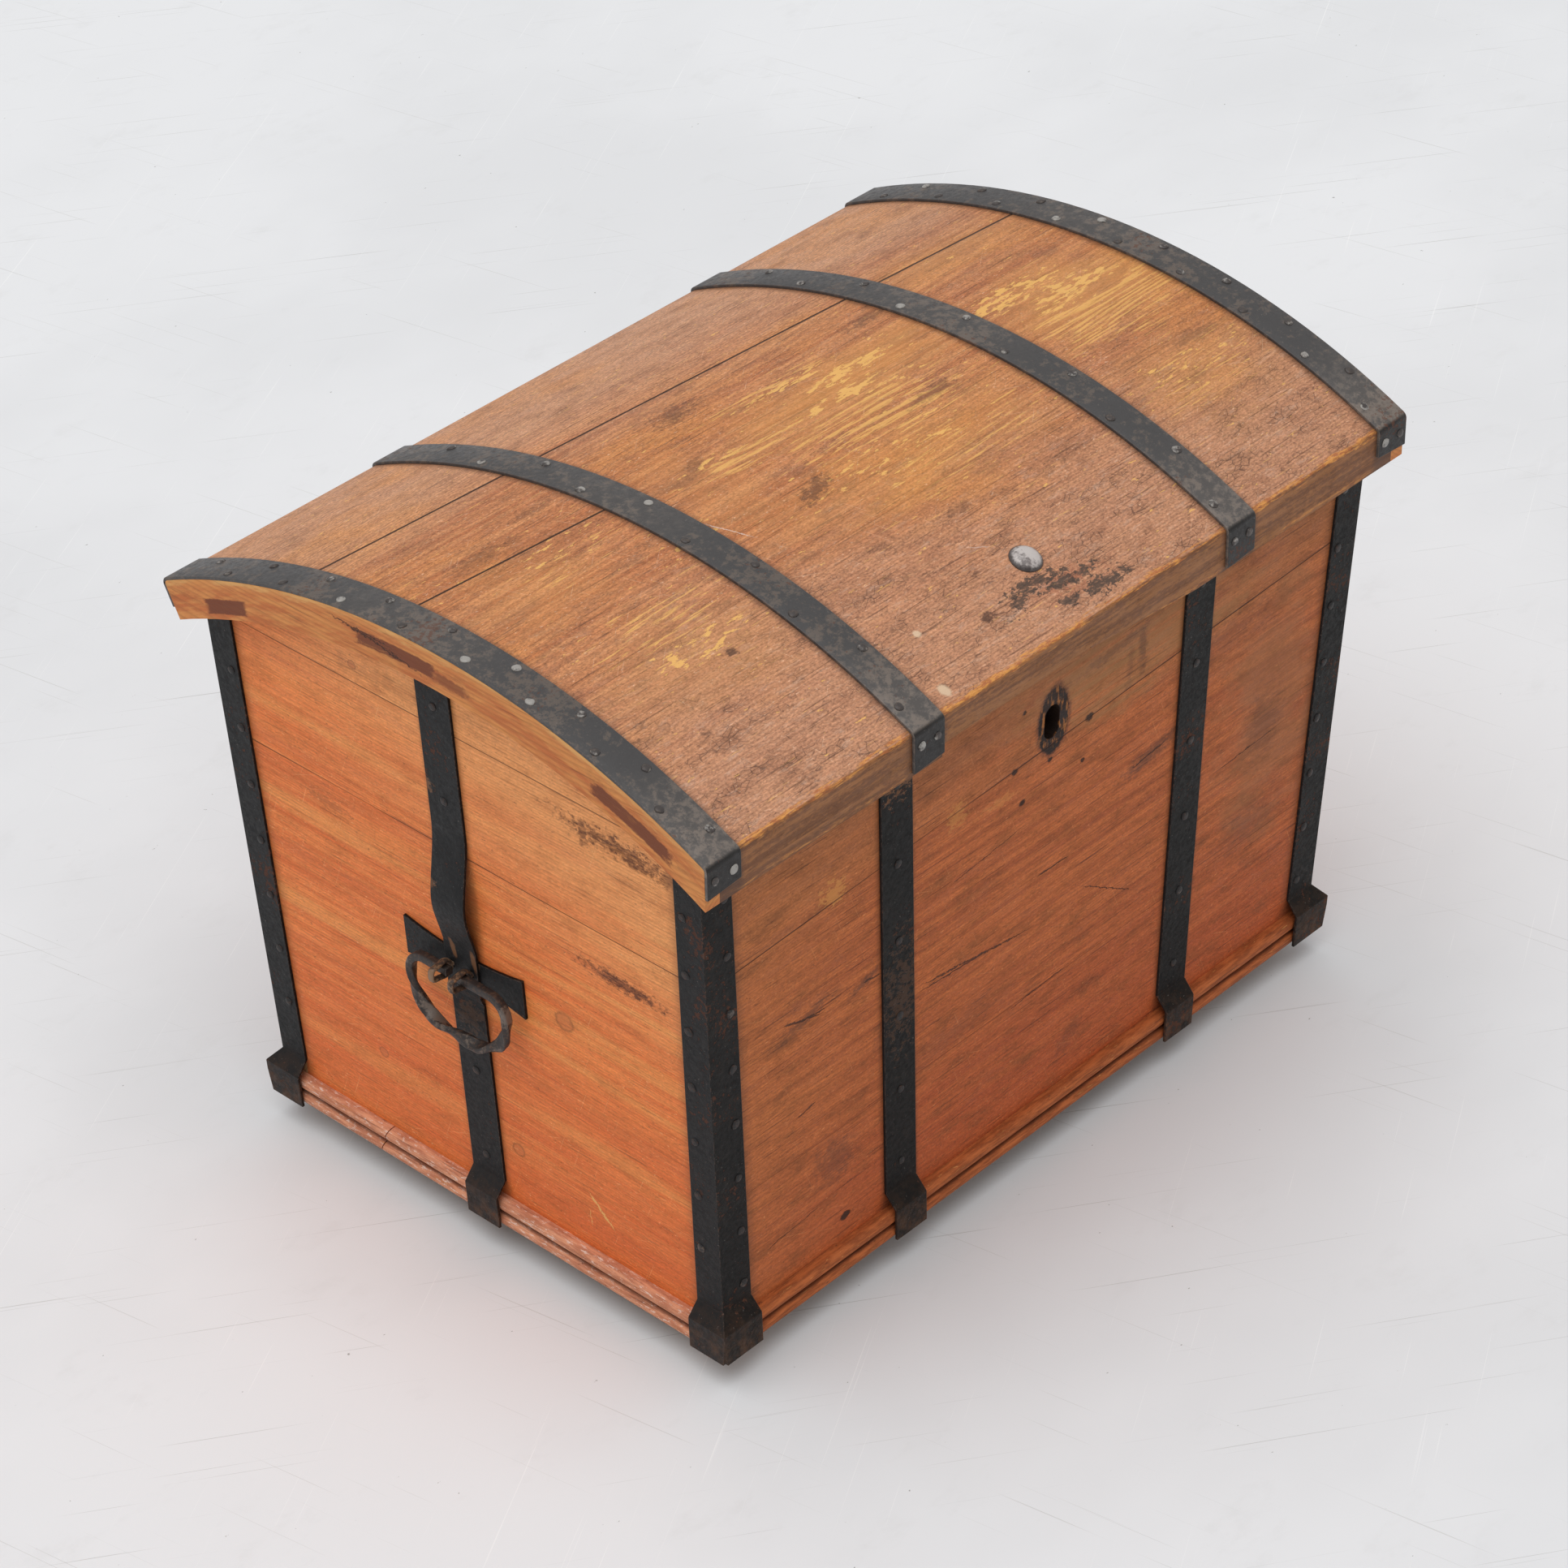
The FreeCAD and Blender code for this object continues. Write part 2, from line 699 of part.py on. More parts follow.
def eye_leg_holes(side):
    half_size = eye_leg / 2 + eye_leg_clearance
    bars = [eye_leg_box(side, y, half_size, -2 * board_thickness, handle_out) for y in eye_places()]
    return Part.makeCompound(bars)


def end_strap():
    """The left end strap: it bows off the wall above the handle and passes over the handle's plate."""
    plate_top = handle_z + plate_half_height
    plate_low = handle_z - plate_half_height
    top_z = base_z + end_strap_top + end_strap_top_slant
    proud = moulding_reach + moulding_gap
    jog_low = base_z + moulding_height + jog_height / 3
    lift = plate_thickness
    low_steps = [
        (base_z, proud),
        (jog_low, proud),
        (jog_low + jog_height, 0),
        (plate_low - 4 * lift, 0),
        (plate_low - lift, lift),
        (plate_top + lift, lift),
    ]
    bow_points = [
        (plate_top + lift, lift),
        ((plate_top + base_z + bow_middle) / 2, (lift + bow_reach) / 2),
        (base_z + bow_middle, bow_reach),
        (base_z + (2 * bow_middle + bow_top) / 3, bow_reach * 0.75),
        (base_z + (bow_middle + 2 * bow_top) / 3, bow_reach * 0.27),
        (base_z + bow_top, 0),
    ]

    def side_edges(thickness):
        flat = [on_wall("left", -far, z, out + thickness) for z, out in low_steps]
        edges = [Part.LineSegment(a, b).toShape() for a, b in zip(flat, flat[1:])]
        curve = Part.BSplineCurve()
        curve.interpolate([on_wall("left", -far, z, out + thickness) for z, out in bow_points])
        top = on_wall("left", -far, top_z, thickness)
        edges.append(curve.toShape())
        edges.append(Part.LineSegment(on_wall("left", -far, base_z + bow_top, thickness), top).toShape())
        return edges, flat[0], top

    inner, inner_low, inner_top = side_edges(0)
    outer, outer_low, outer_top = side_edges(strap_thickness)
    foot = Part.LineSegment(inner_low, outer_low).toShape()
    head = Part.LineSegment(inner_top, outer_top).toShape()
    wire = Part.Wire(Part.__sortEdges__(inner + outer + [foot, head]))
    sheet = Part.Face(wire).extrude(V(0, 2 * far, 0))
    half = strap_width / 2
    outline = [
        (end_strap_y - half, base_z),
        (end_strap_y + half, base_z),
        (end_strap_y + half, base_z + end_strap_top - end_strap_top_slant),
        (end_strap_y - half, top_z),
    ]
    return sheet.common(cookie("left", outline)).common(arch(strap_top_radius)).cut(eye_leg_holes("left"))


def handle_plate():
    """A plate with flared ends and a narrow waist, flat on the left end wall below the strap."""
    half = plate_length / 2
    waist = plate_waist / 2

    def at(y, z):
        return V(-far, end_strap_y + y, handle_z + z)

    top = Part.Arc(at(-half, plate_half_height), at(0, waist), at(half, plate_half_height))
    low = Part.Arc(at(-half, -plate_half_height), at(0, -waist), at(half, -plate_half_height))
    ends = [
        Part.LineSegment(at(-half, -plate_half_height), at(-half, plate_half_height)),
        Part.LineSegment(at(half, -plate_half_height), at(half, plate_half_height)),
    ]
    wire = Part.Wire([top.toShape(), ends[1].toShape(), low.toShape(), ends[0].toShape()])
    prism = Part.Face(wire).extrude(V(2 * far, 0, 0))
    sheet = flat_skin("left", 0, plate_thickness, handle_z - plate_end_height, handle_z + plate_end_height)
    return sheet.common(prism).cut(eye_leg_holes("left"))


def handle_eyes():
    """Two split pins: a ring that holds the bail, a leg through the wall, and two tips clinched inside."""
    eyes = []
    inside = -board_thickness
    for y in eye_places():
        centre = V(-handle_axis_x, y - eye_width / 2, handle_z)
        ring = forged_head([(eye_radius, 0), (eye_radius, eye_width)], eye_sides, centre, V(0, 1, 0))
        leg = eye_leg_box("left", y, eye_leg / 2, inside - clinch_thickness / 2, handle_out)
        tips = flat_skin("left", inside - clinch_thickness, inside, handle_z - far, handle_z + far)
        reach = clinch_length + eye_leg / 2
        window = box(-far, 0, y - eye_leg / 2, y + eye_leg / 2, handle_z - reach, handle_z + reach)
        hole_corner = eye_hole_radius / math.cos(math.pi / eye_sides)
        hole = forged_head([(hole_corner, 0), (hole_corner, eye_width)], eye_sides, centre, V(0, 1, 0))
        eyes.append(ring.fuse(leg).fuse(tips.common(window)).cut(hole).removeSplitter())
    return Part.makeCompound([s for e in eyes for s in e.Solids])


def bail_stations():
    """The bail's centre line from one stub end to the other, as points with their directions, in Y and Z."""
    centre_y = end_strap_y + bail_offset_y
    half = bail_width / 2
    low_z = handle_z - bail_drop
    stub = end_strap_y - bail_end_gap / 2
    other_stub = end_strap_y + bail_end_gap / 2
    top = bail_top_corner
    low = bail_low_corner
    pieces = [
        ("line", (stub, handle_z), (centre_y - half + top, handle_z)),
        ("arc", (centre_y - half + top, handle_z - top), top, 90),
        ("line", (centre_y - half, handle_z - top), (centre_y - half, low_z + low)),
        ("arc", (centre_y - half + low, low_z + low), low, 180),
        ("line", (centre_y - half + low, low_z), (centre_y + half - low, low_z)),
        ("arc", (centre_y + half - low, low_z + low), low, 270),
        ("line", (centre_y + half, low_z + low), (centre_y + half, handle_z - top)),
        ("arc", (centre_y + half - top, handle_z - top), top, 0),
        ("line", (centre_y + half - top, handle_z), (other_stub, handle_z)),
    ]
    stations = []
    for piece in pieces:
        if piece[0] == "line":
            (y0, z0), (y1, z1) = piece[1:]
            length = math.hypot(y1 - y0, z1 - z0)
            run_y = (y1 - y0) / length
            run_z = (z1 - z0) / length
            count = max(1, round(length / bail_station_length))
            for i in range(count):
                reach = length * i / count
                stations.append((y0 + run_y * reach, z0 + run_z * reach, run_y, run_z))
        else:
            (y0, z0), radius, start = piece[1:]
            count = max(3, round(radius * math.pi / 2 / bail_station_length))
            for i in range(count):
                turn = math.radians(start + 90 * i / count)
                y = y0 + radius * math.cos(turn)
                z = z0 + radius * math.sin(turn)
                stations.append((y, z, -math.sin(turn), math.cos(turn)))
    stations.append((other_stub, handle_z, -1.0, 0.0))
    return stations


def bail():
    """The left bail: a square bar bent to a drop loop and twisted on its way round."""
    stations = bail_stations()
    first = next(i for i, s in enumerate(stations) if s[3] < -0.99)
    last = len(stations) - 1 - next(i for i, s in enumerate(stations[::-1]) if s[3] > 0.99)
    rings = []
    for i, (y, z, dy, dz) in enumerate(stations):
        share = min(max((i - first) / (last - first), 0), 1)
        twist = math.radians(45 + bail_twist_degrees * share)
        side = V(0, -dz, dy)
        ring = []
        for corner in range(4):
            turn = twist + corner * math.pi / 2
            offset = V(1, 0, 0) * math.cos(turn) + side * math.sin(turn)
            ring.append(V(-handle_axis_x, y, z) + offset * bail_corner)
        rings.append(ring)
    faces = [polygon(rings[0]), polygon(rings[-1])]
    for ring, following in zip(rings, rings[1:]):
        for a in range(4):
            b = (a + 1) % 4
            faces.append(polygon([ring[a], ring[b], following[b]]))
            faces.append(polygon([ring[a], following[b], following[a]]))
    solid = Part.Solid(Part.Shell(faces))
    if solid.Volume < 0:
        solid.reverse()
    return solid


def nail(point, normal):
    """A nail's head, hammered to a low point, its foot on the iron."""
    return forged_head([(nail_radius, 0), (0, nail_height)], nail_sides, point, normal)


def arch_nail(x, angle):
    out = V(0, math.sin(angle), math.cos(angle))
    return nail(V(x, 0, arch_z) + out * (arch_radius + band_thickness), out)


def arch_angles(pitch, shift):
    """Angles along the arch, a pitch apart, from the first nail behind the front edge to the rear edge."""
    start = -math.asin(lid_front_reach / arch_radius) + first_nail_distance / arch_radius
    end = rear_angle - first_nail_distance / arch_radius
    step = pitch / arch_radius
    angle = start + shift * step
    angles = []
    while angle <= end:
        angles.append(angle)
        angle += step
    return angles


def lid_nails():
    heads = []
    outer_x = lid_half_length - nail_edge_distance
    inner_x = lid_half_length - end_band_width + nail_edge_distance
    for side in (-1, 1):
        for angle in arch_angles(end_band_nail_pitch, 0):
            heads.append(arch_nail(side * inner_x, angle))
        for angle in arch_angles(end_band_nail_pitch, 0.5):
            heads.append(arch_nail(side * outer_x, angle))
    step_x = hinge_band_width / 2 - nail_edge_distance
    for centre_x in (left_hinge_x, right_hinge_x):
        for i, angle in enumerate(arch_angles(hinge_band_nail_pitch, 0)):
            offset = step_x if i % 2 else -step_x
            heads.append(arch_nail(centre_x + offset, angle))
    front_top_z = arch_z + math.sqrt(arch_radius ** 2 - lid_front_reach ** 2)
    front_y = -lid_front_reach - band_thickness
    front_z = front_top_z - end_band_drop / 2
    spots = [side * x for side in (-1, 1) for x in (outer_x, inner_x)]
    spots += [centre + side * step_x for centre in (left_hinge_x, right_hinge_x) for side in (-1, 1)]
    heads += [nail(V(x, front_y, front_z), V(0, -1, 0)) for x in spots]
    return Part.makeCompound(heads)


def strap_nail(side, across, z):
    return nail(on_wall(side, across, z, strap_thickness), outward_normal(side))


def heights(pitch, low, high):
    count = int((high - low) // pitch)
    return [high - i * pitch for i in range(count + 1)]


strap_nail_low = base_z + moulding_height + 2 * jog_height
strap_nail_high = lid_bottom_z - first_nail_distance


def corner_nails():
    """Nails down both legs of the front left corner angle, near their free edges."""
    heads = []
    for z in heights(corner_nail_pitch, strap_nail_low, strap_nail_high):
        edge_x = -half_length(z) - strap_thickness + corner_front_leg - nail_edge_distance
        heads.append(strap_nail("front", edge_x, z))
    for z in heights(corner_nail_pitch, strap_nail_low, strap_nail_high - corner_nail_pitch / 4):
        edge_y = -half_depth(z) - strap_thickness + corner_end_leg - nail_edge_distance
        heads.append(strap_nail("left", edge_y, z))
    return Part.makeCompound(heads)


def front_strap_nails():
    heads = []
    left = (left_front_strap_top_x, left_front_strap_base_x)
    right = (right_front_strap_top_x, right_front_strap_base_x)
    for top_x, base_x in (left, right):
        for z in heights(strap_nail_pitch, strap_nail_low, strap_nail_high):
            heads.append(strap_nail("front", front_strap_x(top_x, base_x, z), z))
    return Part.makeCompound(heads)


def rear_strap_nails():
    heads = []
    for centre_x in (left_hinge_x, right_hinge_x):
        for z in heights(strap_nail_pitch, strap_nail_low, strap_nail_high - strap_nail_pitch / 2):
            heads.append(strap_nail("rear", centre_x, z))
    return Part.makeCompound(heads)


def end_strap_nails():
    """Nails down the left end strap, above its bow and below the handle's plate."""
    heads = []
    first_z = base_z + end_strap_top - first_nail_distance
    for z in heights(end_strap_nail_pitch, strap_nail_low, first_z):
        if handle_z - plate_end_height < z < base_z + bow_top + nail_radius:
            continue
        heads.append(strap_nail("left", end_strap_y, z))
    return Part.makeCompound(heads)


# The lock's places: its plate is on the inner face of the upper front board
lock_x = hasp_x - lock_offset
lock_top_z = lid_bottom_z - lock_plate_top_gap
inner_face = -board_thickness
plate_face = inner_face - lock_plate_thickness
case_top_z = lock_top_z - (lock_plate_height - case_height) / 2
bolt_low_z = lid_bottom_z - hasp_reach + hasp_wall + bolt_clearance
bolt_top_z = bolt_low_z + bolt_height
bolt_rest_x = hasp_x - hasp_thickness / 2 - bolt_tail_gap
plate_inner_y = -half_depth(bolt_low_z) - plate_face
hasp_middle_y = plate_inner_y + hasp_slot_clearance + hasp_width / 2


def lock_rectangle(length, height, top_z):
    x0 = lock_x - length / 2
    x1 = lock_x + length / 2
    return cookie("front", [(x0, top_z - height), (x1, top_z - height), (x1, top_z), (x0, top_z)])


def lock_sheet(out0, out1):
    return flat_skin("front", out0, out1, base_z, lid_bottom_z + board_thickness)


def bolt_bar(grow, x0, x1):
    """The bolt's straight bar, grown all round for what guides it."""
    y0 = hasp_middle_y - bolt_thickness / 2
    y1 = hasp_middle_y + bolt_thickness / 2
    return box(x0, x1, y0 - grow, y1 + grow, bolt_low_z - grow, bolt_top_z + grow)


def guide_places():
    """Where the two guides start along the lock's plate: one near each end of the drawn-back bolt."""
    return [bolt_rest_x - bolt_length + guide_width, bolt_rest_x - guide_width * 1.5]


def lock_plate():
    """The lock's plate, with the keyhole and two guides that hold the bolt."""
    plate = lock_sheet(plate_face, inner_face)
    plate = plate.common(lock_rectangle(lock_plate_length, lock_plate_height, lock_top_z))
    wall = lock_sheet(plate_face + lock_plate_thickness / 2, board_thickness)
    channel = bolt_bar(guide_clearance, -far, far)
    guide_y = hasp_middle_y + bolt_thickness / 2 + case_wall
    for x0 in guide_places():
        z0 = bolt_low_z - guide_wall
        z1 = bolt_top_z + guide_wall
        block = box(x0, x0 + guide_width, -carcass_depth_top / 2, guide_y, z0, z1)
        plate = plate.fuse(block.cut(wall).cut(channel))
    hole = keyhole(plate_keyhole_width, plate_keyhole_length)
    return plate.cut(hole).removeSplitter()


def lock_case():
    """A shallow iron box over the lock's works, open towards the plate and slotted on top for the hasp."""
    outer = lock_sheet(plate_face - case_depth, plate_face)
    outer = outer.common(lock_rectangle(case_length, case_height, case_top_z))
    inner = lock_sheet(plate_face - case_depth + case_wall, plate_face + case_wall)
    inner_length = case_length - 2 * case_wall
    inner_height = case_height - 2 * case_wall
    inner = inner.common(lock_rectangle(inner_length, inner_height, case_top_z - case_wall))
    x0 = hasp_x - hasp_thickness / 2 - hasp_slot_clearance
    x1 = hasp_x + hasp_thickness / 2 + hasp_slot_clearance
    y0 = -carcass_depth_top / 2
    y1 = hasp_middle_y + hasp_width / 2 + hasp_slot_clearance
    slot = box(x0, x1, y0, y1, case_top_z - 2 * case_wall, lid_bottom_z + case_wall)
    return outer.cut(inner).cut(slot)


def lock_bolt():
    """The bolt, drawn back, with a notched lug below that the key's bit pushes."""
    x1 = bolt_rest_x
    x0 = x1 - bolt_length
    bar = bolt_bar(0, x0, x1)
    y0 = hasp_middle_y - bolt_thickness / 2
    y1 = hasp_middle_y + bolt_thickness / 2
    half = bolt_lug_width / 2
    middle = guide_places()[0] + guide_width + bolt_clearance + half
    lug_low = bolt_low_z - bolt_lug_drop
    lug = box(middle - half, middle + half, y0, y1, lug_low, bolt_top_z)
    notch_half = key_notch_width / 2
    notch = box(middle - notch_half, middle + notch_half, y0 - 1, y1 + 1, lug_low - 1, bolt_low_z)
    return bar.fuse(lug).cut(notch).removeSplitter()


def lock_spring():
    """A bowed leaf that presses the bolt down between its guides."""
    first_guide, second_guide = guide_places()
    x0 = first_guide + guide_width + guide_clearance
    x1 = second_guide - guide_clearance
    y0 = hasp_middle_y - spring_width / 2
    foot_z = bolt_top_z + guide_clearance
    edges = []
    ends = []
    for lift in (0, spring_thickness):
        low = V((x0 + x1) / 2, y0, foot_z + lift)
        start = V(x0, y0, foot_z + spring_rise + lift)
        end = V(x1, y0, foot_z + spring_rise + lift)
        edges.append(Part.Arc(start, low, end).toShape())
        ends.append((start, end))
    for low_end, high_end in zip(*ends):
        edges.append(Part.LineSegment(low_end, high_end).toShape())
    wire = Part.Wire(Part.__sortEdges__(edges))
    return Part.Face(wire).extrude(V(0, spring_width, 0))


def lid_hasp():
    """The hasp: a leaf under the lid, and a tongue that drops into the lock with an eye for the bolt."""
    leaf_outer = lid_inner_radius - seat_gap
    leaf = arch(leaf_outer).cut(arch(leaf_outer - hasp_leaf_thickness))
    front_y = hasp_middle_y - hasp_width / 2 - seat_gap
    x0 = hasp_x - hasp_leaf_width / 2
    x1 = hasp_x + hasp_leaf_width / 2
    crown_z = arch_z + arch_radius
    leaf = leaf.common(box(x0, x1, front_y, front_y + hasp_leaf_length, lid_bottom_z, crown_z))
    half_t = hasp_thickness / 2
    y0 = hasp_middle_y - hasp_width / 2
    low_z = lid_bottom_z - hasp_reach
    tongue = box(hasp_x - half_t, hasp_x + half_t, y0, y0 + hasp_width, low_z, crown_z)
    tongue = tongue.common(arch(leaf_outer - hasp_leaf_thickness / 2))
    eye = box(
        hasp_x - hasp_thickness,
        hasp_x + hasp_thickness,
        hasp_middle_y - bolt_thickness / 2 - bolt_clearance,
        hasp_middle_y + bolt_thickness / 2 + bolt_clearance,
        bolt_low_z - bolt_clearance,
        bolt_top_z + bolt_clearance,
    )
    foot, out = rivet_frame()
    depth = lid_thickness + seat_gap + hasp_leaf_thickness
    hole = Part.makeCylinder(rivet_shank_radius + rivet_fit, depth, foot - out * depth, out)
    return leaf.fuse(tongue).cut(eye).cut(hole).removeSplitter()


def lid_rivet():
    """The big rivet above the keyhole: a dome on the lid, and a shank through lid and hasp."""
    foot, out = rivet_frame()
    dome_radius = (rivet_head_radius ** 2 + rivet_head_height ** 2) / (2 * rivet_head_height)
    steps = []
    for i in range(rivet_rings):
        height = rivet_head_height * math.sin(math.pi / 2 * i / rivet_rings)
        radius = math.sqrt(dome_radius ** 2 - (dome_radius - rivet_head_height + height) ** 2)
        steps.append((radius, height))
    dome = forged_head(steps, rivet_sides, foot, out)
    below = lid_thickness + seat_gap + hasp_leaf_thickness
    length = below + rivet_head_height / 2
    shank = Part.makeCylinder(rivet_shank_radius, length, foot - out * below, out)
    return dome.fuse(shank).removeSplitter()


def build():
    os.makedirs("parts", exist_ok=True)
    for name, board in carcass().items():
        export(name, board)
    export("bottom_boards", bottom_boards())
    export("skids", skids())
    export("front_moulding", moulding("front"))
    export("rear_moulding", moulding("rear"))
    export("left_moulding", broken_moulding())
    export("right_moulding", moulding("right"))

    for name, board in lid_boards().items():
        export(name, board)
    cleat = lid_cleat()
    export("left_lid_cleat", cleat)
    export("right_lid_cleat", mirror_x(cleat))
    export("lid_lip_strips", lip_strips())
    end_band = band(-lid_half_length, -lid_half_length + end_band_width, end_band_drop, end_band_rear_drop)
    export("left_end_band", end_band)
    export("right_end_band", mirror_x(end_band))
    export("left_hinge_band", hinge_band(left_hinge_x))
    export("right_hinge_band", hinge_band(right_hinge_x))
    export("left_hinge_pin", hinge_pin(left_hinge_x))
    export("right_hinge_pin", hinge_pin(right_hinge_x))
    export("lid_nails", lid_nails())

    export("left_front_strap", front_strap(left_front_strap_top_x, left_front_strap_base_x))
    export("right_front_strap", front_strap(right_front_strap_top_x, right_front_strap_base_x))
    export("left_rear_strap", rear_hinge_strap(left_hinge_x))
    export("right_rear_strap", rear_hinge_strap(right_hinge_x))
    corner = corner_strap()
    export("front_left_corner_strap", corner)
    export("front_right_corner_strap", mirror_x(corner))
    export("rear_left_corner_strap", mirror_y(corner))
    export("rear_right_corner_strap", mirror_x(mirror_y(corner)))
    nails = corner_nails()
    rear_corners = mirror_y(nails)
    corner_sets = [nails, mirror_x(nails), rear_corners, mirror_x(rear_corners)]
    export("corner_strap_nails", Part.makeCompound([s for c in corner_sets for s in c.Solids]))
    export("front_strap_nails", front_strap_nails())
    export("rear_strap_nails", rear_strap_nails())

    end_pieces = {
        "end_strap": end_strap(),
        "handle_plate": handle_plate(),
        "handle_eyes": handle_eyes(),
        "bail": bail(),
        "end_strap_nails": end_strap_nails(),
    }
    for name, piece in end_pieces.items():
        export("left_" + name, piece)
        export("right_" + name, mirror_x(piece))

    export("lock_plate", lock_plate())
    export("lock_case", lock_case())
    export("lock_bolt", lock_bolt())
    export("lock_spring", lock_spring())
    export("lid_hasp", lid_hasp())
    export("lid_rivet", lid_rivet())


build()
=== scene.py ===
import math
import random

import bmesh
import bpy
from mathutils import Matrix, Vector


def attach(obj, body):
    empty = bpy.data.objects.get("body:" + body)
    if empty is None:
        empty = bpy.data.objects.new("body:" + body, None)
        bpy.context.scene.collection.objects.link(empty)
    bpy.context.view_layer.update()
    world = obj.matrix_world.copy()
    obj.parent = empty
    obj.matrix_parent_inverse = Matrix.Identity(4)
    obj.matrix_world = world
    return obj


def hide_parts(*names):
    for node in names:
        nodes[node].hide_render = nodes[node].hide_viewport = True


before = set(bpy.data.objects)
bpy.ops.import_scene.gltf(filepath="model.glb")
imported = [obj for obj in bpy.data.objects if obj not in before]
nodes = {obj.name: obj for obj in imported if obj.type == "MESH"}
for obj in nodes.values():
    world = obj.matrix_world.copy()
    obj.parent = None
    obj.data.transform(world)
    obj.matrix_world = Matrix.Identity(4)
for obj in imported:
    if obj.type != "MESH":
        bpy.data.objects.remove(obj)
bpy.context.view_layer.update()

MM = 0.001

# Places on the chest, in millimetres in the CAD's frame
BASE_Z = 30
END_BASE_X = 408
END_SPLAY = 0.05487
FRONT_BASE_Y = 275
FRONT_SPLAY = 0.03027
ARCH_Z = -49.95
ARCH_RADIUS = 724
LID_FRONT_Y = 319
LID_LOW_Z = 558.8
LID_FRONT_ARC = math.asin(LID_FRONT_Y / ARCH_RADIUS) * ARCH_RADIUS
BANDS = ((-440, 20), (-192, 19), (222, 19), (440, 20))
KEYHOLE = (8, 487)
RIVET_FOOT = (17.3, -247.201, 630.543)
RIVET_OUT = (0, -0.341438, 0.939904)
HANDLE_X = 439.64
HANDLE_Z = 318
STRAP_Y = 8
BAIL_SHIFT = -5
BAIL_HALF = 59
BAIL_DROP = 67
BAIL_GAP = 5
BAIL_CORNERS = (19, 46)
BAIL_BAR = 4
BAIL_WIDE = 6.1
BAIL_THIN = 3.1
BAIL_TWIST = 540
BAIL_FLATTEN = 0.12
BAIL_STEP = 2.4
BAIL_SECTION = (0, 37, 45, 53)
EYE_Y = 12
EYE_LEG = 40.84
EYE_LOOP = 7.94
EYE_REACH = 9
EYE_TIP = 6.2
EYE_HALF_WIDTH = 3.2
EYE_HALF_THICK = 1.6
LEG_HALF = 2.4
CLINCH_REACH = 14
CLINCH_HALF_THICK = 1.2
CLINCH_GAP = 0.05
NAIL_RADII = (3.9, 4.7)
NAIL_HEIGHTS = (1.4, 1.9)
NAIL_PROFILE = ((1, -0.1), (1, 0.22), (0.9, 0.56), (0.66, 0.84), (0.34, 0.97), (0, 1))
RIVET_DOME = ((15.3, -0.1), (15.4, 0.7), (14.6, 1.7), (12.6, 3.5), (9.6, 5.1), (6, 6.3), (2.6, 6.8), (0, 6.9))
RIVET_SHANK = ((4, 0), (4, 28.4), (0.5, 28.8), (0, 29))

# The camera, in metres, and its turn from the world's axes as a rotation vector
CAMERA_PLACE = (-2.7247, -2.5388, 2.9469)
CAMERA_LENS = 114.32
CAMERA_TURN = Vector((2.035, -0.9037, 0.4441))

# The floor's half size in metres, and the light: a white sky and one soft sun
FLOOR_HALF = 12
SKY = 0.56
BACKDROP = 0.82
SUN = 1.47
SUN_ANGLE = 60
SUN_FROM = (-0.25, -0.02, 1)


def linear(colour):
    """A colour of the screen's 0 to 255 values, made linear for the shaders. A socket stays as it is."""
    if not isinstance(colour, tuple):
        return colour
    shares = [value / 255 for value in colour]
    return (*[share / 12.92 if share <= 0.04045 else ((share + 0.055) / 1.055) ** 2.4 for share in shares], 1)


class Field:
    """A number that varies over a surface: one output of a material's nodes, with arithmetic."""

    def __init__(self, graph, socket):
        self.graph = graph
        self.socket = socket

    def operator(operation):
        return lambda *fields: fields[0].graph.math(operation, *fields)

    __add__ = __radd__ = operator("ADD")
    __sub__ = operator("SUBTRACT")
    __mul__ = __rmul__ = operator("MULTIPLY")
    __truediv__ = operator("DIVIDE")
    __abs__ = operator("ABSOLUTE")

    def __rsub__(self, other):
        return self.graph.math("SUBTRACT", other, self)

    def step(self, low, high, out_low=0, out_high=1):
        """A smooth step from out_low, where the field is at low, to out_high, where it is at high."""
        inputs = {"Value": self, "From Min": low, "From Max": high, "To Min": out_low, "To Max": out_high}
        output = self.graph.node("MapRange", inputs, "Result", interpolation_type="SMOOTHSTEP")
        return Field(self.graph, output)


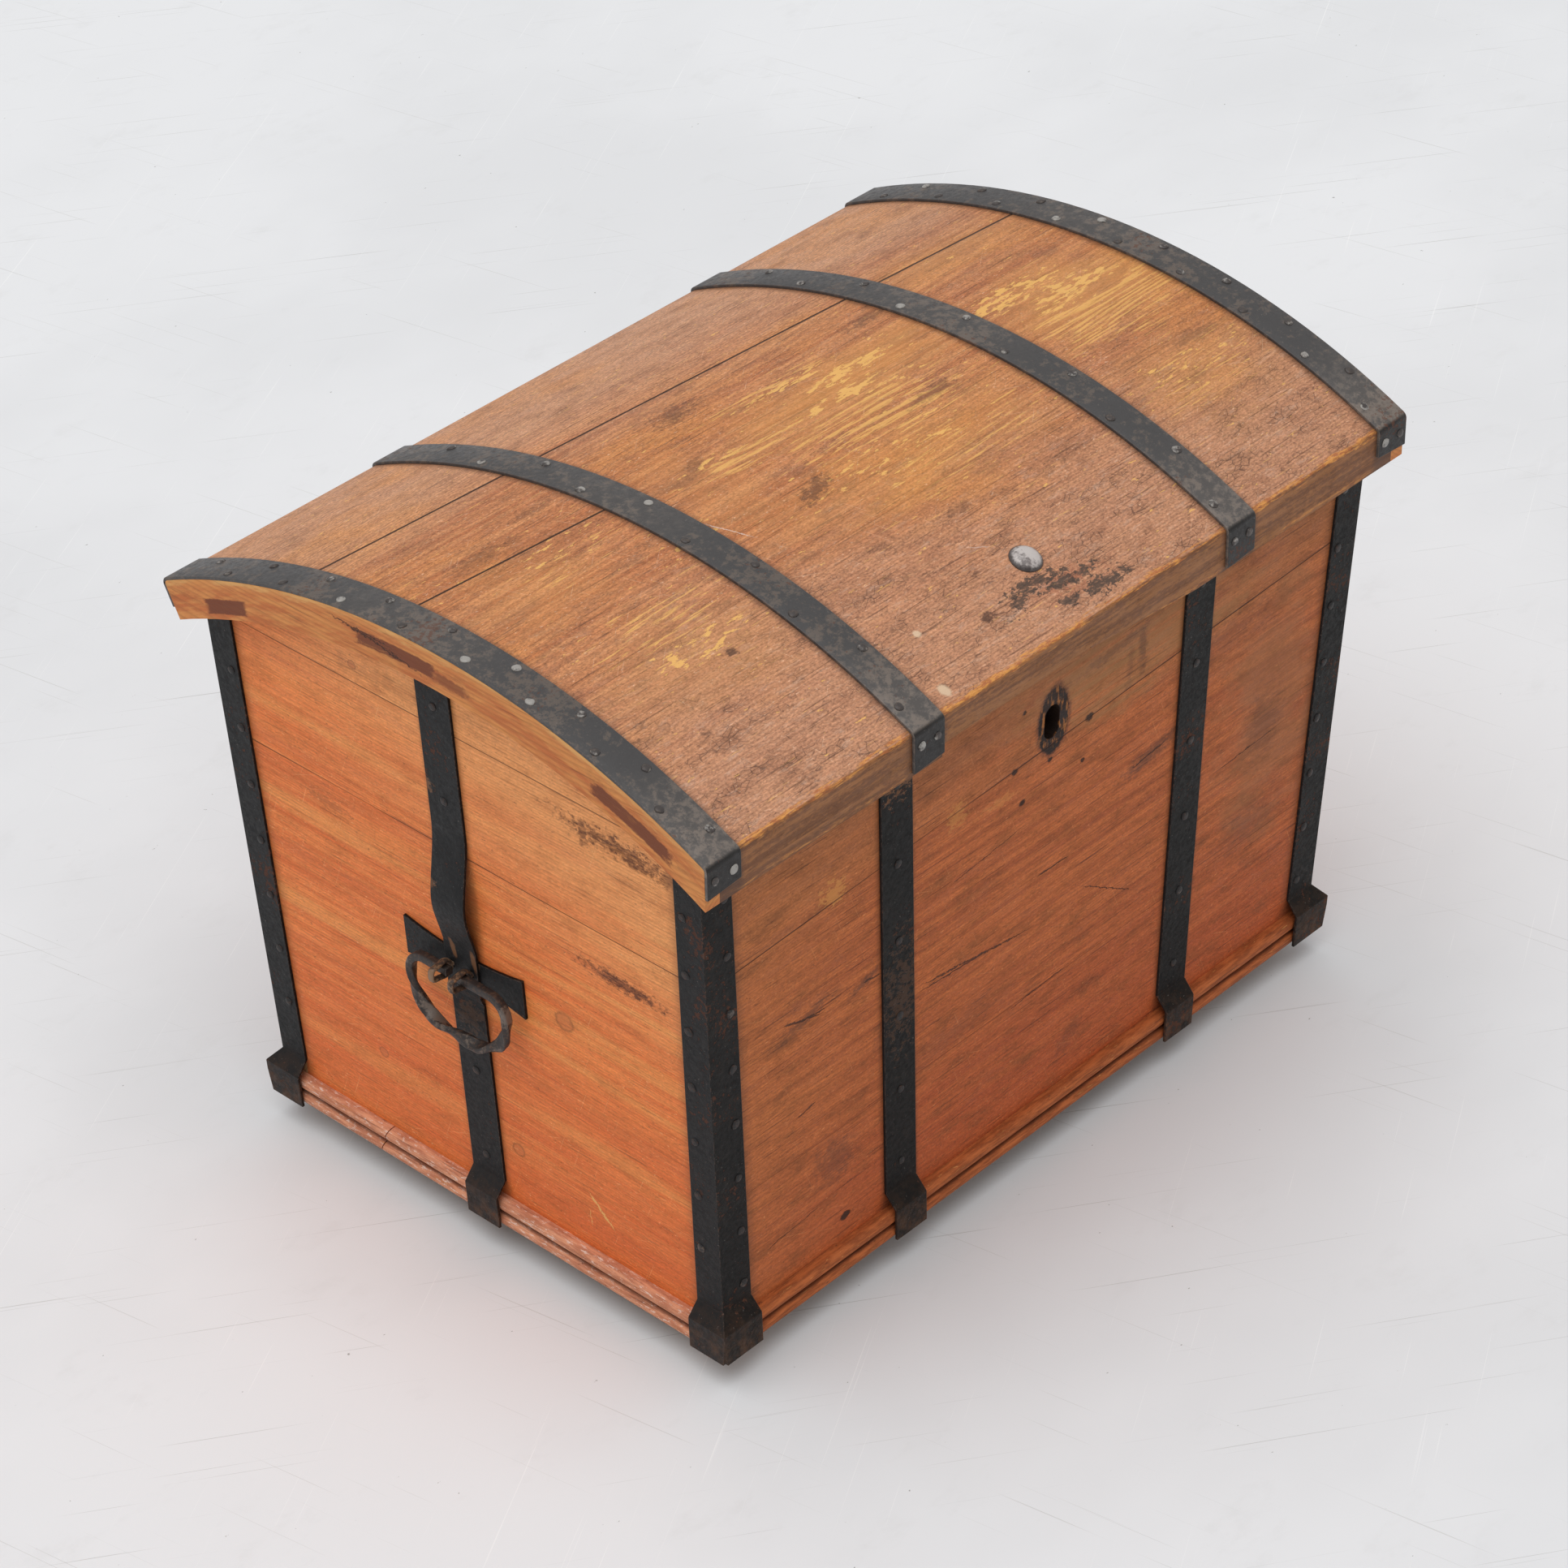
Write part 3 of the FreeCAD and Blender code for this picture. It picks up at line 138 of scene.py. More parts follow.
class Graph:
    """One material's nodes, and the colour that its layers build up. Places are the CAD's, in millimetres."""

    def __init__(self, name):
        self.material = bpy.data.materials.new(name)
        self.material.use_nodes = True
        self.tree = self.material.node_tree
        self.tree.nodes.clear()
        coordinates = self.tree.nodes.new("ShaderNodeTexCoord")
        self.x, self.y, self.z = [part * 1000 for part in self.parts(coordinates.outputs["Object"])]
        self.facing = self.parts(coordinates.outputs["Normal"])
        board = self.tree.nodes.new("ShaderNodeValue")
        board.name = "board"
        board.outputs[0].default_value = 1
        self.board = Field(self, board.outputs[0])

    def node(self, kind, inputs, out=0, **settings):
        """The output of a new node, whose inputs are given by name or number and its settings by name."""
        node = self.tree.nodes.new("ShaderNode" + kind)
        for name, value in settings.items():
            setattr(node, name, value)
        for name, value in inputs.items():
            if isinstance(value, Field):
                value = value.socket
            if isinstance(value, bpy.types.NodeSocket):
                self.tree.links.new(value, node.inputs[name])
            else:
                node.inputs[name].default_value = value
        return node.outputs[out]

    def math(self, operation, *values):
        return Field(self, self.node("Math", dict(enumerate(values)), operation=operation))

    def most(self, *values):
        result = values[0]
        for value in values[1:]:
            result = self.math("MAXIMUM", result, value)
        return result

    def vector(self, x, y, z):
        return self.node("CombineXYZ", {0: x, 1: y, 2: z})

    def parts(self, vector):
        split = self.node("SeparateXYZ", {0: vector}).node
        return [Field(self, out) for out in split.outputs]

    def mapping(self, place, kind, shift, turn, scale):
        inputs = {"Vector": place, "Location": shift, "Rotation": (0, 0, math.radians(turn)), "Scale": scale}
        return self.node("Mapping", inputs, vector_type=kind)

    def noise(self, place, size, shift=0, detail=3, roughness=0.55, turn=0):
        """Cloudy noise around 0.5, with features of these sizes along the axes. The last can serve two."""
        if turn:
            place = self.mapping(place, "POINT", (0, 0, 0), turn, (1, 1, 1))
        shifts = [shift * step for step in (7.31, 8.47, 9.13)]
        scale = [1 / length for length in (*size, size[-1])[:3]]
        place = self.mapping(place, "POINT", shifts, 0, scale)
        inputs = {"Vector": place, "Scale": 1, "Detail": detail, "Roughness": roughness}
        return Field(self, self.node("TexNoise", inputs, "Fac"))

    def grain(self, size, shift, **look):
        """Noise of one size in all directions."""
        return self.noise(self.vector(self.x, self.y, self.z), (size, size), shift, **look)

    def crackle(self, place, size):
        """Distance from the edges of a net of cells, as old varnish cracks."""
        place = self.mapping(place, "POINT", (0, 0, 0), 0, [1 / length for length in size])
        inputs = {"Vector": place, "Scale": 1}
        return Field(self, self.node("TexVoronoi", inputs, "Distance", feature="DISTANCE_TO_EDGE"))

    def mix(self, below, above, share):
        """One colour over another, by a share from 0 to 1."""
        inputs = {"Factor": share, 6: linear(below), 7: linear(above)}
        return self.node("Mix", inputs, 2, data_type="RGBA")

    def shade(self, colour, amount):
        """A colour times a number that varies over the surface."""
        return self.node("VectorMath", {0: colour, "Scale": amount}, operation="SCALE")

    def shade_all(self, amount):
        self.colour = self.shade(self.colour, amount)

    def lay(self, colour, share):
        """Lays a colour over the layers that are there."""
        self.colour = self.mix(self.colour, colour, share)

    def face(self, across, up):
        """Sets the flat coordinates of the marks on a face, and the noise that roughens their outlines."""
        self.flat = self.vector(across, up, 0)
        self.rag = self.noise(self.flat, (7, 5), 1.7, detail=5, roughness=0.7) - 0.5
        self.wide_rag = self.noise(self.flat, (60, 30), 2.9, detail=4, roughness=0.6) - 0.5

    def spot(self, centre, reach, turn=0, edge=0.3, ragged=0.5, wide=False):
        """A soft-edged oval patch with a ragged outline: 1 inside, 0 outside."""
        local = self.mapping(self.flat, "TEXTURE", (*centre, 0), turn, (*reach, 1))
        length = self.node("VectorMath", {0: local}, "Value", operation="LENGTH")
        rag = self.wide_rag if wide else self.rag
        return self.math("MULTIPLY_ADD", rag, 4 * ragged, length).step(1 + edge, 1 - edge)

    def spots(self, marks, **look):
        """The most of several spots, each as (x, y, half width, half height, amount) and perhaps a turn."""
        return self.most(*[
            self.spot((x, y), (width, height), *turn, **look) * amount
            for x, y, width, height, amount, *turn in marks])

    def patch(self, centre, reach, edge=0.12, ragged=0.3):
        """As a spot, but with straight sides and square corners."""
        local = self.mapping(self.flat, "TEXTURE", (*centre, 0), 0, (*reach, 1))
        across, up, _ = self.parts(local)
        return (self.most(abs(across), abs(up)) + self.rag * (4 * ragged)).step(1 + edge, 1 - edge)

    def line(self, start, end, width, waver=1.5):
        """A crack or scratch between two points, thinner towards its ends."""
        run_x = end[0] - start[0]
        run_y = end[1] - start[1]
        turn = math.degrees(math.atan2(run_y, run_x))
        local = self.mapping(self.flat, "TEXTURE", (*start, 0), turn, (math.hypot(run_x, run_y), width, 1))
        share, off, _ = self.parts(local)
        off = self.math("MULTIPLY_ADD", self.rag, 4 * waver / width, off)
        ends = share.step(0, 0.2) * share.step(1, 0.7)
        return (abs(off) + (1 - ends) * 0.8).step(1, 0.3)

    def finish(self, roughness, height=None, depth=0.4, specular=0.5):
        """The material, with the layers' colour. Where height is 1 it stands depth millimetres proud of 0."""
        inputs = {"Base Color": self.colour, "Roughness": roughness, "Specular IOR Level": specular}
        if height is not None:
            bumps = {"Strength": 1, "Distance": depth * MM, "Height": height}
            inputs["Normal"] = self.node("Bump", bumps)
        end = self.tree.nodes.new("ShaderNodeOutputMaterial")
        self.tree.links.new(self.node("BsdfPrincipled", inputs), end.inputs["Surface"])
        return self.material


class Wood:
    """Old pine with worn paint: where a face is, its grain, and how its dirt lies."""

    def __init__(self, graph, along, across, out, pith=(0, -120), spacing=3):
        self.graph = graph
        self.out = out
        place = graph.vector(along + graph.board * 791, across, out)
        self.place = place
        sway = (graph.noise(place, (700, 120), 0.4, detail=2) - 0.5) * 44
        ripple = (graph.noise(place, (110, 15), 3.1, detail=2) - 0.5) * 3.6
        pith_across = across - pith[0] + graph.math("SINE", graph.board * 12.9) * 70
        pith_depth = out - pith[1]
        radius = graph.math("SQRT", pith_across * pith_across + pith_depth * pith_depth) + sway + ripple
        phase = graph.math("FRACT", radius / spacing)
        self.rings = phase.step(0.3, 0.84) * phase.step(1, 0.92)
        self.fibres = graph.noise(place, (42, 0.9), 1.3, roughness=0.6)
        self.clouds = graph.noise(place, (260, 44), 2.2)
        self.cloud = self.clouds - 0.5
        self.streaks = graph.noise(place, (280, 7), 5, detail=4, roughness=0.6)
        self.grime = graph.noise(place, (48, 20), 8, detail=6, roughness=0.68)
        self.specks = graph.noise(place, (4.6, 2), 4, detail=2)
        self.hairs = graph.noise(place, (70, 1.7), 6, detail=2, roughness=0.5)
        self.grit = graph.noise(place, (9, 2.8), 14, detail=5, roughness=0.75)
        self.dust = graph.noise(place, (2.8, 1.6), 18, detail=2)
        self.scratches = graph.most(*[
            graph.noise(place, (size, 1.1, 20), 15 + turn, detail=1, turn=turn)
            for size, turn in ((70, 24), (50, -38), (60, 68))])

    def bare(self):
        """Unpainted old pine, as the chest has inside."""
        colour = self.graph.mix((186, 146, 102), (160, 116, 76), self.clouds)
        colour = self.graph.mix(colour, (132, 90, 56), self.rings * 0.5)
        return self.graph.shade(colour, self.fibres * 0.3 + 0.85)

    def weather(self, ring, ring_share, grime, grime_share, chip, hair, hair_share, speckle):
        """Lays a painted face's grain, dirt, pale chips and dark hair cracks over its own colour."""
        graph = self.graph
        graph.lay(ring, self.rings * ring_share)
        graph.lay(grime, self.grime.step(0.46, 0.72) * grime_share)
        graph.lay(chip, self.specks.step(0.66, 0.73) * 0.45)
        graph.lay(chip, self.scratches.step(0.73, 0.77) * 0.35)
        graph.lay(hair, self.hairs.step(0.635, 0.71) * hair_share)
        graph.lay(hair, self.specks.step(0.34, 0.27) * 0.5)
        level = 0.37 - speckle / 2
        graph.shade_all(self.fibres * 0.6 + self.grit * 0.7 + self.dust * speckle + level)

    def relief(self):
        """The height of the grain and of the paint's unevenness."""
        cracks = self.hairs.step(0.645, 0.72)
        return 0.5 + self.fibres * 0.2 - self.rings * 0.07 - cracks * 0.25 + (self.grime - 0.5) * 0.3

    def finish(self, height, rough, depth=0.8, specular=0.25, painted=None):
        """The material of a painted face, with bare wood where a board's inside shows."""
        if painted is None:
            painted = self.out.step(-7, -3)
        self.graph.colour = self.graph.mix(self.bare(), self.graph.colour, painted)
        return self.graph.finish(self.grime.step(0.3, 0.7, *rough), height, depth, specular)


def variants(material, names):
    """Dresses each board in its own copy of a material, so that no two have the same grain."""
    for index, name in enumerate(names):
        copy = material if index == 0 else material.copy()
        copy.node_tree.nodes["board"].outputs[0].default_value = 1 + index
        dress(name, copy)


def arch_axes(graph):
    """The place along the lid's arch from its top, and how far a point is outside the arch."""
    lift = graph.z - ARCH_Z
    across = graph.math("ARCTAN2", graph.y, lift) * ARCH_RADIUS
    return across, graph.math("SQRT", graph.y * graph.y + lift * lift) - ARCH_RADIUS


def wall_axes(graph, side):
    """The places along a wall and up, outside its outer face, and above its base."""
    rise = graph.z - BASE_Z
    if side in ("front", "rear"):
        along, out, face = graph.x, graph.y, rise * FRONT_SPLAY + FRONT_BASE_Y
    else:
        along, out, face = graph.y, graph.x, rise * END_SPLAY + END_BASE_X
    if side in ("front", "left"):
        out = 0 - out
    return along, graph.z, out - face, rise


def front_paint(side):
    """The front wall's worn red-brown paint. The rear wall has the same, without the marks."""
    graph = Graph(f"{side}_paint")
    along, up, out, rise = wall_axes(graph, side)
    wood = Wood(graph, along, up, out, pith=(0, -170), spacing=3.2)
    graph.face(along, up)

    graph.colour = graph.mix((198, 109, 56), (168, 86, 44), wood.streaks.step(0.3, 0.7))
    # Redder low down, browner high up, paler to the left, and blotched
    graph.lay((180, 80, 42), (graph.z + wood.cloud * 160).step(270, 60) * 0.6)
    graph.lay((174, 118, 70), (graph.z + wood.cloud * 200).step(380, 560) * 0.55)
    graph.lay((190, 118, 64), (graph.x + wood.cloud * 120).step(-170, -430) * 0.4)
    graph.lay((140, 80, 52), graph.wide_rag.step(0.06, 0.24) * 0.45)
    wood.weather((130, 66, 36), 0.2, (110, 70, 44), 0.5, (222, 148, 94), (78, 44, 32), 0.55, 0.9)

    height = wood.relief()
    painted = out.step(-7, -3)
    if side == "front":
        # Worn and dirty places
        patch = graph.spot((118, 524), (150, 60), wide=True)
        graph.lay((168, 122, 76), patch * wood.streaks.step(0.3, 0.6) * 0.6)
        graph.lay((150, 104, 68), graph.spot((330, 330), (60, 110), ragged=0.8, wide=True, edge=0.5) * 0.45)
        smears = [
            (149, 375, 34, 8, 0.6, 12), (129, 506, 5, 22, 0.5), (92, 520, 40, 5, 0.4, 6),
            (112, 490, 4, 22, 0.3, -3), (-267, 160, 20, 24, 0.45, 30), (-310, 343, 32, 5, 0.5, 14),
            (318, 322, 20, 34, 0.35), (-236, 338, 16, 4, 0.6, 18), (46, 104, 19, 10, 0.3, 40),
            (-120, 210, 60, 14, 0.25, 8), (250, 450, 60, 16, 0.3, 4), (300, 210, 40, 20, 0.3, 10),
        ]
        graph.lay((86, 56, 44), graph.spots(smears, ragged=1.2, edge=0.7))
        rubs = graph.most(
            graph.spot((-275, 459), (13, 10), ragged=1.6), graph.spot((196, 537), (22, 4), ragged=0.9),
            graph.spots([(-117, 452, 10, 11, 0.7), (-60, 436, 22, 4, 0.5)], ragged=1.8))
        graph.lay((206, 138, 72), rubs * 0.8)

        strokes = [
            (-164, 285, -50, 276, 0.9), (-8, 324, 42, 322, 1.2), (-340, 352, -284, 336, 1.4),
            (-318, 344, -280, 340, 0.9), (-236, 339, -210, 336, 1.2), (-318, 238, -292, 244, 1.1),
            (57, 278, 140, 226, 0.6), (120, 372, 178, 380, 1.1), (-40, 190, 60, 196, 0.6),
            (-360, 112, -280, 120, 0.6), (250, 300, 350, 306, 0.6), (-130, 380, -20, 392, 0.5),
        ]
        cracks = graph.most(
            graph.line((-166, 292), (0, 267), 1.3, waver=2.6),
            *[graph.line((x, y), (to_x, to_y), width) for x, y, to_x, to_y, width in strokes])
        graph.lay((58, 36, 28), cracks * 0.85)

        # The place of the lost escutcheon, with its nail holes
        scar = graph.spot(KEYHOLE, (20.5, 35), edge=0.06, ragged=0.08)
        scar_grain = graph.noise(graph.flat, (5, 16, 5), 6, detail=4)
        scar_colour = graph.mix((40, 25, 19), (158, 98, 48), scar_grain.step(0.52, 0.64))
        rim = graph.spot(KEYHOLE, (23, 38), edge=0.1, ragged=0.14)
        graph.lay((96, 54, 38), rim * 0.7)
        graph.lay(scar_colour, scar)
        nails = ((58, 464, 4.6), (51, 421, 2.6), (-30, 419, 4), (-42, 458, 3.6), (-32, 516, 2.8), (6, 446, 3))
        holes = graph.most(
            graph.spot((-253, 87), (6, 4.5), edge=0.2, ragged=0.3),
            *[graph.spot((x, y), (size, size * 0.8)) for x, y, size in nails])
        graph.lay((38, 24, 18), holes * 0.9)
        # Painted shade: the keyhole's cut wall is made dark, as the hole lies in shadow
        keyhole_shade = graph.spot(KEYHOLE, (12, 24), edge=0.1, ragged=0) * out.step(-0.6, -2)
        graph.lay((34, 22, 16), keyhole_shade)
        painted = graph.most(painted, keyhole_shade)
        height = height - cracks * 0.9 - holes * 1.2 - scar * 0.35

    # The joints between the boards
    high_seam = abs(up - along * 0.0446 - 461.5)
    low_seam = abs(up - 193)
    seam = graph.most(high_seam.step(1.1, 0.3), low_seam.step(0.9, 0.3) * 0.3) * wood.clouds.step(0.3, 0.5)
    graph.lay((64, 40, 30), seam * 0.8)

    # Dirt and painted shade beside the straps, which lean on the front, and under the lid
    if side == "front":
        straps = (along + 179 + rise * 0.0435, along - 199 - rise * 0.0132)
    else:
        straps = (along + 192, along - 222)
    left_strap, right_strap = [(abs(off) - 20).step(8, 0) for off in straps]
    corner = (abs(along) - rise * END_SPLAY - END_BASE_X).step(-48, -33)
    dirt_and_shade_under_lid = (up + wood.cloud * 60).step(480, 560)
    dirt_and_shade = graph.most(left_strap, right_strap, corner, dirt_and_shade_under_lid * 0.7)
    graph.lay((92, 62, 44), dirt_and_shade * 0.45)
    return wood.finish(height - seam * 0.6, rough=(0.52, 0.7), painted=painted)


def end_paint(side):
    """An end wall's brighter paint. The right wall has the same, without the marks."""
    graph = Graph(f"{side}_paint")
    along, up, out, rise = wall_axes(graph, side)
    wood = Wood(graph, along, up, out, pith=(6, -46), spacing=3.6)
    graph.face(along, up)
    stripes = graph.noise(wood.place, (520, 30), 13)

    graph.colour = graph.mix((240, 140, 72), (222, 112, 52), wood.streaks.step(0.3, 0.7))
    graph.lay((202, 96, 46), stripes.step(0.5, 0.68) * 0.5)
    graph.lay((236, 160, 86), stripes.step(0.46, 0.32) * 0.5)
    graph.lay((216, 100, 48), (graph.z + wood.cloud * 180).step(300, 40) * 0.6)
    graph.lay((238, 168, 104), (up - along * 0.45 + wood.cloud * 160).step(380, 640) * 0.8)
    wood.weather((176, 90, 44), 0.22, (170, 96, 54), 0.38, (250, 190, 130), (116, 62, 36), 0.4, 0.5)

    height = wood.relief()
    if side == "left":
        stains = graph.most(
            graph.spots([(-200, 549, 52, 9, 1, 3), (-186, 400, 40, 6, 1, 2)], ragged=1.5, edge=0.6),
            graph.spots([(-158, 549, 6, 13, 0.8), (-262, 546, 20, 10, 0.6)], ragged=1),
            graph.spot((40, 596), (90, 9), turn=-3, ragged=1.6, edge=0.6) * 0.22,
            graph.spot((170, 420), (26, 5), turn=4, ragged=1.4) * 0.35)
        graph.lay((88, 44, 24), stains * wood.grit.step(0.38, 0.56, 0.5, 0.95))
        worn = graph.spot((-206, 545), (44, 6), turn=3, ragged=1.6) * wood.fibres.step(0.45, 0.6)
        graph.lay((224, 146, 72), worn * 0.25)
        for x, y, size in ((-111, 318, 11), (136, 149, 6), (-33, 127, 8), (110, 595, 5)):
            whole = graph.spot((x, y), (size, size * 0.95), ragged=0.16, edge=0.14)
            heart = graph.spot((x, y), (size * 0.76, size * 0.72), ragged=0.2, edge=0.2)
            graph.lay((112, 62, 36), (whole - heart) * 0.5)
            graph.lay((190, 106, 62), heart * 0.4)
        scratch = graph.most(
            graph.line((-118, 128), (-152, 94), 2, waver=3), graph.line((-118, 108), (-120, 84), 0.8) * 0.7)
        graph.lay((232, 178, 104), scratch * 0.9)

    seams = graph.most(abs(up - 445).step(1, 0.3), abs(up - 576).step(0.9, 0.3) * 0.8)
    seams = seams * wood.clouds.step(0.32, 0.5)
    graph.lay((84, 48, 32), seams * 0.85)

    # Dirt and painted shade beside the strap and the corner irons, and under the cleat
    strap = (abs(along - 8) - 20).step(8, 0)
    corner = (abs(along) - rise * FRONT_SPLAY - FRONT_BASE_Y).step(-42, -28)
    dirt_and_shade_under_cleat = graph.math("SQRT", along * along + (up - ARCH_Z) * (up - ARCH_Z)).step(672, 690)
    dirt_and_shade = graph.most(strap, corner, dirt_and_shade_under_cleat * 0.4)
    graph.lay((116, 72, 46), dirt_and_shade * 0.4)
    return wood.finish(height - seams * 0.6, rough=(0.46, 0.6), depth=0.6)


def lid_paint():
    """The lid's paint, scuffed grey towards the front and rubbed to ochre wood in streaks."""
    graph = Graph("lid_paint")
    across, out = arch_axes(graph)
    along = graph.x
    wood = Wood(graph, along, across, out, pith=(60, -260), spacing=2.7)
    graph.face(along, across)
    broad = graph.noise(graph.flat, (230, 110), 2)

    graph.colour = graph.mix((206, 140, 92), (176, 106, 66), wood.streaks.step(0.3, 0.7))
    # Paler towards the back: a painted sheen, the sky's reflection at a grazing view
    graph.lay((202, 152, 118), (across + (broad - 0.5) * 160).step(90, 220) * 0.75)
    front = (across + (broad - 0.5) * 200).step(-80, -270)
    graph.lay((192, 142, 112), front * 0.75)
    graph.lay((214, 142, 74), broad.step(0.48, 0.68) * (1 - front) * 0.5)
    graph.lay((156, 104, 76), graph.wide_rag.step(0.04, 0.2) * 0.45)
    wood.weather((142, 86, 52), 0.26, (132, 92, 70), 0.5, (236, 198, 168), (82, 54, 42), 0.5, 1.5)
    net = graph.crackle(graph.flat, (11, 6, 6))
    crazed = net.step(0.05, 0.01) * wood.grime.step(0.46, 0.6) * front
    graph.lay((88, 60, 48), crazed * 0.7)
    scuffs = graph.noise(wood.place, (24, 6), 21, detail=6, roughness=0.75)
    graph.lay((222, 188, 166), scuffs.step(0.52, 0.70) * (front * 0.26 + 0.1))

    # Paint worn off along the grain down to ochre wood, most in broad middle patches
    patches = [
        (335, -35, 85, 60, 0.9), (-300, -165, 90, 45, 0.45), (325, -180, 80, 50, 0.5),
        (40, -105, 150, 50, 0.6), (-340, -20, 60, 50, 0.4), (-130, -20, 50, 80, 0.4), (330, 110, 80, 30, 0.6),
    ]
    wear = graph.most(
        graph.spot((85, 18), (125, 40), wide=True, edge=0.7), graph.spots(patches, wide=True, edge=0.8))
    lines = graph.noise(wood.place, (44, 2.4), 9, detail=4, roughness=0.7)
    combed = graph.spots([
        (62, -42, 110, 30, 1), (-62, 0, 64, 14, 0.9), (335, -72, 72, 42, 1), (-290, -120, 70, 34, 0.6),
        (40, 66, 80, 8, 0.8), (-300, 10, 60, 30, 0.4), (90, -120, 120, 34, 0.5), (330, -190, 70, 30, 0.5),
    ], wide=True, edge=0.6)
    rub = wood.rings.step(0.6, 0.1) * (lines + combed * 0.2).step(0.62, 0.70)
    flakes = graph.noise(wood.place, (15, 4.6), 10, detail=4, roughness=0.62)
    chipped = graph.spots([
        (42, 55, 56, 8, 1), (100, 30, 56, 10, 1), (64, 4, 62, 9, 1), (112, -14, 40, 7, 0.8),
        (285, 4, 66, 17, 0.95), (340, -26, 50, 16, 0.95), (-100, 12, 44, 8, 0.7), (-290, -158, 64, 20, 0.6),
        (-274, 19, 50, 20, 0.5), (-190, -60, 30, 16, 0.5), (310, -180, 90, 24, 0.5), (36, -92, 110, 26, 0.4),
    ], ragged=0.4, wide=True, edge=0.5)
    rub = graph.most(rub * 0.8, (flakes + chipped * 0.19).step(0.67, 0.70))
    graph.lay((224, 160, 86), wear * 0.42)
    graph.lay((242, 188, 106), rub * 0.8)

    # Dark marks, the tar below the rivet, pale plugs and scratches
    marks = graph.spots([
        (-52, 103, 26, 12, 0.5, 10), (-64, -79, 22, 8, 0.6, 20), (179, 82, 22, 8, 0.5),
        (14, -176, 12, 6, 0.4), (-275, -180, 5, 4, 0.8), (-60, -279, 8, 4, 0.8), (-201, -176, 8, 5, 0.4),
        (-330, 60, 26, 8, 0.35), (120, -52, 26, 6, 0.4, 5), (-110, 20, 16, 6, 0.35, 30),
        (370, -150, 26, 7, 0.35), (-250, 80, 18, 6, 0.35),
    ], ragged=1.3, edge=0.5)
    graph.lay((74, 48, 38), marks)
    smudges = [(4, -276, 30, 6, 1, -6), (34, -288, 30, 5, 1, -3), (-26, -284, 14, 8, 0.8, 30)]
    tar = graph.most(
        graph.spots(smudges, ragged=1.6, edge=0.35),
        graph.spot((56, -308), (30, 6), turn=-4, ragged=2) * 0.9,
        graph.spot((20, -306), (12, 5), ragged=1.4) * 0.8)
    sore = graph.spot((36, -292), (62, 20), turn=-6, ragged=1.5, edge=0.6)
    graph.lay((158, 84, 60), sore * graph.rag.step(-0.02, 0.08) * 0.6)
    graph.lay((56, 52, 49), tar.step(0.2, 0.9) * wood.grit.step(0.36, 0.5, 0.4, 0.85))
    plugs = graph.most(
        graph.spot((-152, -313), (5.5, 6), ragged=0.3), graph.spot((-128, -257), (3.5, 4), ragged=0.4))
    graph.lay((222, 192, 160), plugs * 0.9)
    scratches = graph.most(
        graph.line((-172, -44), (-150, -96), 0.8), graph.line((-20, -212), (6, -226), 0.7) * 0.6)
    graph.lay((222, 196, 182), scratches * 0.8)

    # The browner front and rear edges, and the front arris, rubbed to ochre wood in places
    edge_noise = graph.noise(wood.place, (36, 4), 31, detail=5, roughness=0.7)
    front_face = graph.y.step(-LID_FRONT_Y + 2.5, -LID_FRONT_Y + 1)
    aged = graph.mix((150, 98, 54), (110, 68, 38), (wood.streaks + wood.grit - 0.5).step(0.38, 0.62))
    edges = graph.most(front_face, graph.facing[1].step(0.6, 0.9))
    graph.lay(graph.shade(aged, wood.fibres + 0.5), edges * 0.9)
    arris = abs(across + LID_FRONT_ARC - 2.5).step(10, 0)
    worn_line = (arris * 0.42 + edge_noise + wood.cloud * 0.3).step(0.80, 0.92)
    foot_line = abs(graph.z - LID_LOW_Z - 3).step(3.5, 0.5) * edge_noise.step(0.46, 0.6) * front_face
    ochre = graph.mix((226, 156, 78), (176, 104, 58), wood.grit.step(0.42, 0.58))
    graph.lay(ochre, graph.most(worn_line * 0.85, foot_line * 0.6))

    # The joints between the boards
    sine = graph.math("SINE", across / ARCH_RADIUS) * ARCH_RADIUS
    rear_joint = abs(sine - 140.15 + along * 0.0651).step(1.9, 0.7)
    middle_joint = abs(sine - 16 + along * 0.0686).step(1.6, 0.6) * along.step(-150, -215)
    front_joint = abs(sine + 140).step(0.8, 0.3) * 0.12
    seam = graph.most(rear_joint, middle_joint, front_joint)
    graph.lay((44, 27, 20), seam * 0.94)

    # Dirt and painted shade beside the bands
    dirt_and_shade = [(abs(along - centre) - half + wood.grime * 8).step(13, 3) for centre, half in BANDS]
    graph.lay((84, 60, 48), graph.most(*dirt_and_shade) * 0.6)

    height = wood.relief() - rub * 0.12 - seam * 0.6 - crazed * 0.15
    painted = graph.most(out.step(-7, -3), edges)
    return wood.finish(height, rough=(0.46, 0.64), specular=0.3, painted=painted)


